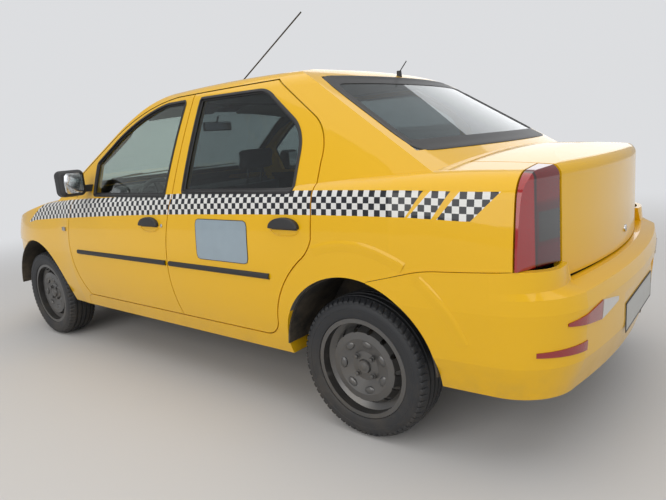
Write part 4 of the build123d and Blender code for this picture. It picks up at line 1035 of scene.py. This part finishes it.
columnLook = {"hub": (0.37, -0.505, 0.85), "lean": 26, "pad": 0.002, "stalks": 0.085}
lean = math.radians(columnLook["lean"])
columnWay = Vector((0, math.cos(lean), math.sin(lean)))
hub = Vector(columnLook["hub"])
pad = drum(hub - columnWay * columnLook["pad"], columnWay, 0.062, 0.03, 48, 0.012)
dress(pad, "hornPad", "steering_wheel", "black_plastic", sealRubber, 50)
foot = hub - columnWay * columnLook["stalks"]
stalks = []
for way in (-1, 1):
    bends = ((0.03, 0, 0), (0.09, 0.005, 0.004), (0.18, 0.02, 0.012))
    stalks.append(wire([foot + Vector((way * x, y, z)) for x, y, z in bends], 0.006))
fitBlack("columnStalks", sealRubber, *stalks, drum(foot, columnWay, 0.042, 0.05, 32, 0.008), angle=50)
print("cabin trim made")


# Engine bay and boot

# name, low corner, high corner, bevel, material
bayTable = [
    ("battery", (0.34, -1.52, 0.6), (0.56, -1.34, 0.8), 0.008, blackPlastic),
    ("airBox", (-0.56, -1.62, 0.6), (-0.34, -1.36, 0.8), 0.02, blackPlastic),
    ("engineCover", (-0.26, -1.66, 0.772), (0.28, -1.36, 0.812), 0.015, blackPlastic),
    ("radiatorPack", (-0.34, -1.885, 0.36), (0.34, -1.835, 0.72), 0.006, sealRubber),
    ("brakeTank", (0.3, -1.18, 0.8), (0.4, -1.09, 0.86), 0.015, roofCloth),
    ("washerTank", (-0.5, -1.2, 0.74), (-0.34, -1.08, 0.86), 0.02, roofCloth),
]
for name, low, high, bevel, material in bayTable:
    fitBlack(name, material, softBox(low, high, bevel))
hoseTable = [(0.018, (-0.2, -1.84, 0.7), (-0.22, -1.78, 0.76), (-0.16, -1.7, 0.79), (-0.1, -1.66, 0.78)),
             (0.018, (0.3, -1.84, 0.46), (0.33, -1.76, 0.5), (0.33, -1.68, 0.6), (0.3, -1.6, 0.68)),
             (0.028, (-0.34, -1.5, 0.74), (-0.28, -1.5, 0.8), (-0.22, -1.48, 0.81))]
fitBlack("engineHoses", sealRubber, *[wire(points, radius, 3) for radius, *points in hoseTable], angle=50)
bootLook = {"x": (-0.53, 0.53, 20), "y": (1.02, 1.86, 16), "from": 0.7, "way": -1, "off": 0.008,
            "thickness": 0.006}
bootSheet = lyingOver(bootLook, casterFor("floor_pan", "body_frame", "liners"))
dress(bootSheet, "bootCarpet", "shell", "seat_cloth", carpetCloth, 60)
print("engine bay made")


# Door cards

# rows and insert: start y, stop y, z; arm: low y, high y, foot z, head z
cardLook = {
    "front": {"rows": [(-0.69, 0.06, z) for z in (0.425, 0.6, 0.78, 0.9, 0.955)],
              "insert": [(-0.6, 0.00, z) for z in (0.6, 0.7, 0.82)], "arm": (-0.36, 0.02, 0.655, 0.695),
              "pocket": (-0.62, -0.06), "opener": -0.46, "winder": (-0.22, 0.575)},
    "rear": {"rows": [(0.26, 0.66, 0.43), (0.26, 0.78, 0.6), (0.26, 0.92, 0.76), (0.26, 0.97, 0.9),
                      (0.26, 0.97, 0.955)],
             "insert": [(0.34, stop, z) for stop, z in ((0.72, 0.62), (0.76, 0.7), (0.84, 0.82))],
             "arm": (0.5, 0.8, 0.665, 0.705), "pocket": None, "opener": 0.4, "winder": (0.5, 0.575)},
    "lift": 0.0045, "thickness": 0.003, "columns": 22}


def cardSheet(cast, table, lift, thickness):  # with two more rows between each pair of the table
    lines = [[a + (b - a) * k / 3 for a, b in zip(lower, upper)] for lower, upper in zip(table, table[1:])
             for k in range(3)]
    rows = [[cast((0.3, y, z), (1, 0, 0)) - Vector((lift, 0, 0))
             for y in spaced(start, stop, cardLook["columns"])] for start, stop, z in lines + [table[-1]]]
    return gridSheet(rows, thickness)


for end in ("front", "rear"):
    look = cardLook[end]
    onDoor = casterFor(end + "_door_left")
    low, high, foot, head = look["arm"]
    inner = onDoor((0.3, low, 0.68), (1, 0, 0)).x
    card = cardSheet(onDoor, look["rows"], cardLook["lift"], cardLook["thickness"])
    insert = cardSheet(onDoor, look["insert"], cardLook["lift"] + 0.006, 0.006)
    trims = [softBox((inner - 0.058, low, foot), (inner - 0.004, high, head), 0.012, 3)]
    if look["pocket"]:
        start, stop = look["pocket"]
        trims.append(softBox((inner - 0.062, start, 0.435), (inner - 0.006, stop, 0.53), 0.01))
    y, z = look["winder"]
    x = onDoor((0.3, y, z), (1, 0, 0)).x - 0.006
    trims += [drum((x - 0.012, y, z), (1, 0, 0), 0.022, 0.026, 28, 0.004),
              wire([(x - 0.022, y, z), (x - 0.026, y + 0.05, z + 0.02), (x - 0.026, y + 0.1, z + 0.04)],
                   0.006),
              drum((x - 0.038, y + 0.1, z + 0.04), (1, 0, 0), 0.01, 0.026, 20, 0.003)]
    y = look["opener"]
    opener = softBox((inner - 0.016, y - 0.05, 0.845), (inner - 0.001, y + 0.05, 0.87), 0.005)
    for label, piece, material, slotName in (
            ("Card", card, blackPlastic, "black_plastic"), ("Insert", insert, seatInsert, "seat_cloth"),
            ("CardTrim", joinAll(trims), sealRubber, "black_plastic"),
            ("Opener", opener, brightMetal, "black_plastic")):
        dressBoth(piece, end + "Door" + label, end + "_door_{}", slotName, material)
print("door cards made")


# Seats

padLook = {"voxel": 0.01, "pressure": 4.0, "steps": 20, "seamDepth": 0.007, "seamWidth": 0.008}


def blockOut(low, high, cuts, mould):  # a cut-up block moved point by point into a cushion's rough form
    pad = softBox(low, high, 0)
    editAll(pad)
    bpy.ops.mesh.subdivide(number_cuts=cuts)
    leaveEdit()
    for vertex in pad.data.vertices:
        vertex.co = mould(*vertex.co)
    return applyModifier(pad, "BEVEL", width=0.022, segments=3, limit_method="ANGLE",
                         angle_limit=math.radians(50))


def swell(pad, cap):
    applyModifier(pad, "REMESH", mode="VOXEL", voxel_size=padLook["voxel"])
    first = [vertex.co.copy() for vertex in pad.data.vertices]
    makeActive(pad)
    cloth = pad.modifiers.new("Cloth", "CLOTH")
    cloth.settings.use_pressure = True
    cloth.settings.uniform_pressure_force = padLook["pressure"]
    cloth.settings.effector_weights.gravity = 0
    for step in range(1, padLook["steps"] + 1):
        bpy.context.scene.frame_set(step)
    bpy.ops.object.modifier_apply(modifier=cloth.name)
    bpy.context.scene.frame_set(1)
    for vertex, start in zip(pad.data.vertices, first):
        shift = vertex.co - start
        if shift.length > cap:
            vertex.co = start + shift * (cap / shift.length)
    return applyModifier(pad, "SUBSURF", levels=1, render_levels=1)


def sewChannels(pad, facing, centres):  # seams that draw the cover in along the middle panel's sides
    moves = []
    for vertex in pad.data.vertices:
        front = max(0.0, min(1.0, (vertex.normal.dot(Vector(facing)) - 0.3) * 3))
        away = min(abs(abs(vertex.co.x - centre) - seamReach) for centre in centres)
        depth = padLook["seamDepth"] * front * math.exp(-(away / padLook["seamWidth"]) ** 2)
        moves.append(vertex.normal * -depth)
    for vertex, move in zip(pad.data.vertices, moves):
        vertex.co += move


def mouldBase(x, y, z):
    side = abs(x - seatPlace) / 0.225
    lift = 0.02 * max(0.0, side - 0.6) / 0.4 if z > 0.44 else 0
    return (x, y, z + lift - 0.012 * (y + 0.31 < 0.02))


def mouldBack(x, y, z):
    share = (z - 0.5) / 0.52
    side = (x - seatPlace) * (1 - 0.14 * max(0.0, share))
    wing = 0.018 * max(0.0, abs(side) / 0.225 - 0.6) / 0.4 if y < 0 else 0
    return (seatPlace + side, y * 0.9 + 0.1675 + 0.13 * share - wing, z)


def mouldRest(x, y, z):
    return (x, y + 0.325 + 0.18 * (z - 1.05), z)


def mouldRearBack(x, y, z):
    share = (z - 0.62) / 0.45
    return (x, y * (1 - 0.18 * share) + 1.05 + 0.141 * share, z)


# name, low, high, cuts, mould, cap, side that faces a sitter, seam centres, node replaced
padTable = [
    ("frontCushion", (seatPlace - 0.222, -0.305, 0.372), (seatPlace + 0.222, 0.135, 0.492), 7, mouldBase,
     0.022, (0, 0, 1), (seatPlace,), ("front_seats",)),
    ("frontBack", (seatPlace - 0.222, -0.04, 0.5), (seatPlace + 0.222, 0.04, 1.005), 7, mouldBack, 0.022,
     (0, -1, 0), (seatPlace,), ()),
    ("headRest", (seatPlace - 0.105, -0.026, 1.062), (seatPlace + 0.105, 0.026, 1.16), 5, mouldRest, 0.012,
     (0, -1, 0), (), ()),
    ("rearCushion", (-0.61, 0.555, 0.47), (0.61, 0.86, 0.585), 11, lambda x, y, z: (x, y, z), 0.024,
     (0, 0, 1), (-seatPlace, seatPlace), ("rear_seat",)),
    ("rearBack", (-0.505, -0.058, 0.625), (0.505, 0.058, 1.065), 11, mouldRearBack, 0.024,
     (0, -1, 0), (-0.26, 0.26), ()),
]
for name, low, high, cuts, mould, cap, facing, seams, stands in padTable:
    pad = swell(blockOut(low, high, cuts, mould), cap)
    if seams:
        sewChannels(pad, facing, seams)
    paired = low[0] > 0  # the rear seat's pads lie across the middle
    if paired:
        twin = mirrorAcross(pad)
        dress(twin, name + "Right", "shell", "seat_cloth", seatCloth, 180)
    dress(pad, name + ("Left" if paired else ""), "shell", "seat_cloth", seatCloth, 180, stands)
    print("pad made:", name)
posts, bases = [], []
for middle in (-seatPlace, seatPlace):
    for x in (middle - 0.05, middle + 0.05):
        posts.append(wire([(x, 0.3, 0.985), (x, 0.315, 1.03), (x, 0.325, 1.075)], 0.0055))
    bases.append(softBox((middle - 0.215, -0.29, 0.3465), (middle + 0.215, 0.16, 0.372), 0.01))
fitBlack("headRestPosts", brightMetal, *posts)
fitBlack("seatBases", blackPlastic, *bases)
print("seats made")


# Light, floor and camera

stageLook = {"floor": (0.62, 0.61, 0.6), "sky": (0.8, 0.81, 0.83), "skyLight": 0.42, "skySeen": 0.9,
             "skyMirrored": 0.55, "near": 2.8, "far": 7.5}
# name, place, aim, width, depth, watts, colour
lightTable = [
    ("overheadSoft", (0.5, 0.5, 6.0), (0, 0, 0.4), 11.0, 9.0, 300, (1.0, 0.99, 0.97)),
    ("leftSoft", (7.0, 1.0, 3.2), (0, 0.2, 0.7), 8.0, 4.0, 190, (1.0, 0.98, 0.95)),
    ("rearSoft", (1.5, 7.5, 3.2), (0, 1.5, 0.8), 6.0, 3.5, 80, (0.97, 0.98, 1.0)),
    ("rightFill", (-7.0, -2.0, 3.2), (0, 0, 0.7), 7.0, 4.0, 90, (0.97, 0.98, 1.0)),
]
deselectAll()
for name, place, aim, width, depth, power, colour in lightTable:
    bpy.ops.object.light_add(type="AREA", location=place)
    lamp = bpy.context.object
    lamp.name = name
    lamp.data.shape = "RECTANGLE"
    lamp.data.size, lamp.data.size_y = width, depth
    lamp.data.energy = power
    lamp.data.color = colour
    lamp.rotation_euler = (Vector(aim) - Vector(place)).to_track_quat("-Z", "Y").to_euler()

bpy.ops.mesh.primitive_plane_add(size=60, location=(0, 0, 0))
floor = bpy.context.object
floor.name = "stageFloor"
floorPaint, tree, shader = newMaterial("stagePale")
setSockets(shader, Base_Color=stageLook["floor"], Roughness=0.85)
length = tree.nodes.new("ShaderNodeVectorMath")
length.operation = "LENGTH"
feed(length.inputs[0], objectPlace(tree)[0])
rays = tree.nodes.new("ShaderNodeLightPath").outputs
seen = calc("MAXIMUM", rays["Is Glossy Ray"], rays["Is Transmission Ray"])
seen = calc("MAXIMUM", rays["Is Camera Ray"], seen)
distant = spreadOf(length.outputs["Value"], stageLook["near"], stageLook["far"])
backdrop = tree.nodes.new("ShaderNodeEmission")
setSockets(backdrop, Color=stageLook["sky"], Strength=stageLook["skySeen"])
blend = tree.nodes.new("ShaderNodeMixShader")
for socket, part in zip(blend.inputs, (times(distant, seen), shader.outputs[0], backdrop.outputs[0])):
    feed(socket, part)
feed(tree.nodes["Material Output"].inputs[0], blend.outputs[0])
floor.data.materials.append(floorPaint)

world = bpy.data.worlds.new("stageSky")
bpy.context.scene.world = world
world.use_nodes = True
tree = world.node_tree
rays = tree.nodes.new("ShaderNodeLightPath").outputs
seen = calc("MAXIMUM", rays["Is Camera Ray"], rays["Is Transmission Ray"])
strength = calc("MULTIPLY_ADD", rays["Is Glossy Ray"], stageLook["skyMirrored"] - stageLook["skyLight"],
                    stageLook["skyLight"])
strength = calc("MULTIPLY_ADD", seen, stageLook["skySeen"] - stageLook["skyLight"], strength)
setSockets(tree.nodes["Background"], Color=stageLook["sky"], Strength=strength)

cameraLook = {"place": (2.4001, 2.4576, 1.1794), "right": (-0.6165, 0.7835, -0.0783),
              "up": (-0.2044, -0.0632, 0.9769), "back": (0.7604, 0.6182, 0.1991), "lens": 29.34}
bpy.ops.object.camera_add()
camera = bpy.context.object
camera.name = "photoCamera"
camera.data.lens = cameraLook["lens"]
turn = Matrix((cameraLook["right"], cameraLook["up"], cameraLook["back"])).transposed()
camera.matrix_world = Matrix.Translation(cameraLook["place"]) @ turn.to_4x4()
camera.data.clip_start = 0.02
camera.data.clip_end = 100
bpy.context.scene.camera = camera
bpy.context.scene.view_settings.view_transform = "Standard"

bpy.context.view_layer.update()
print("stage set")
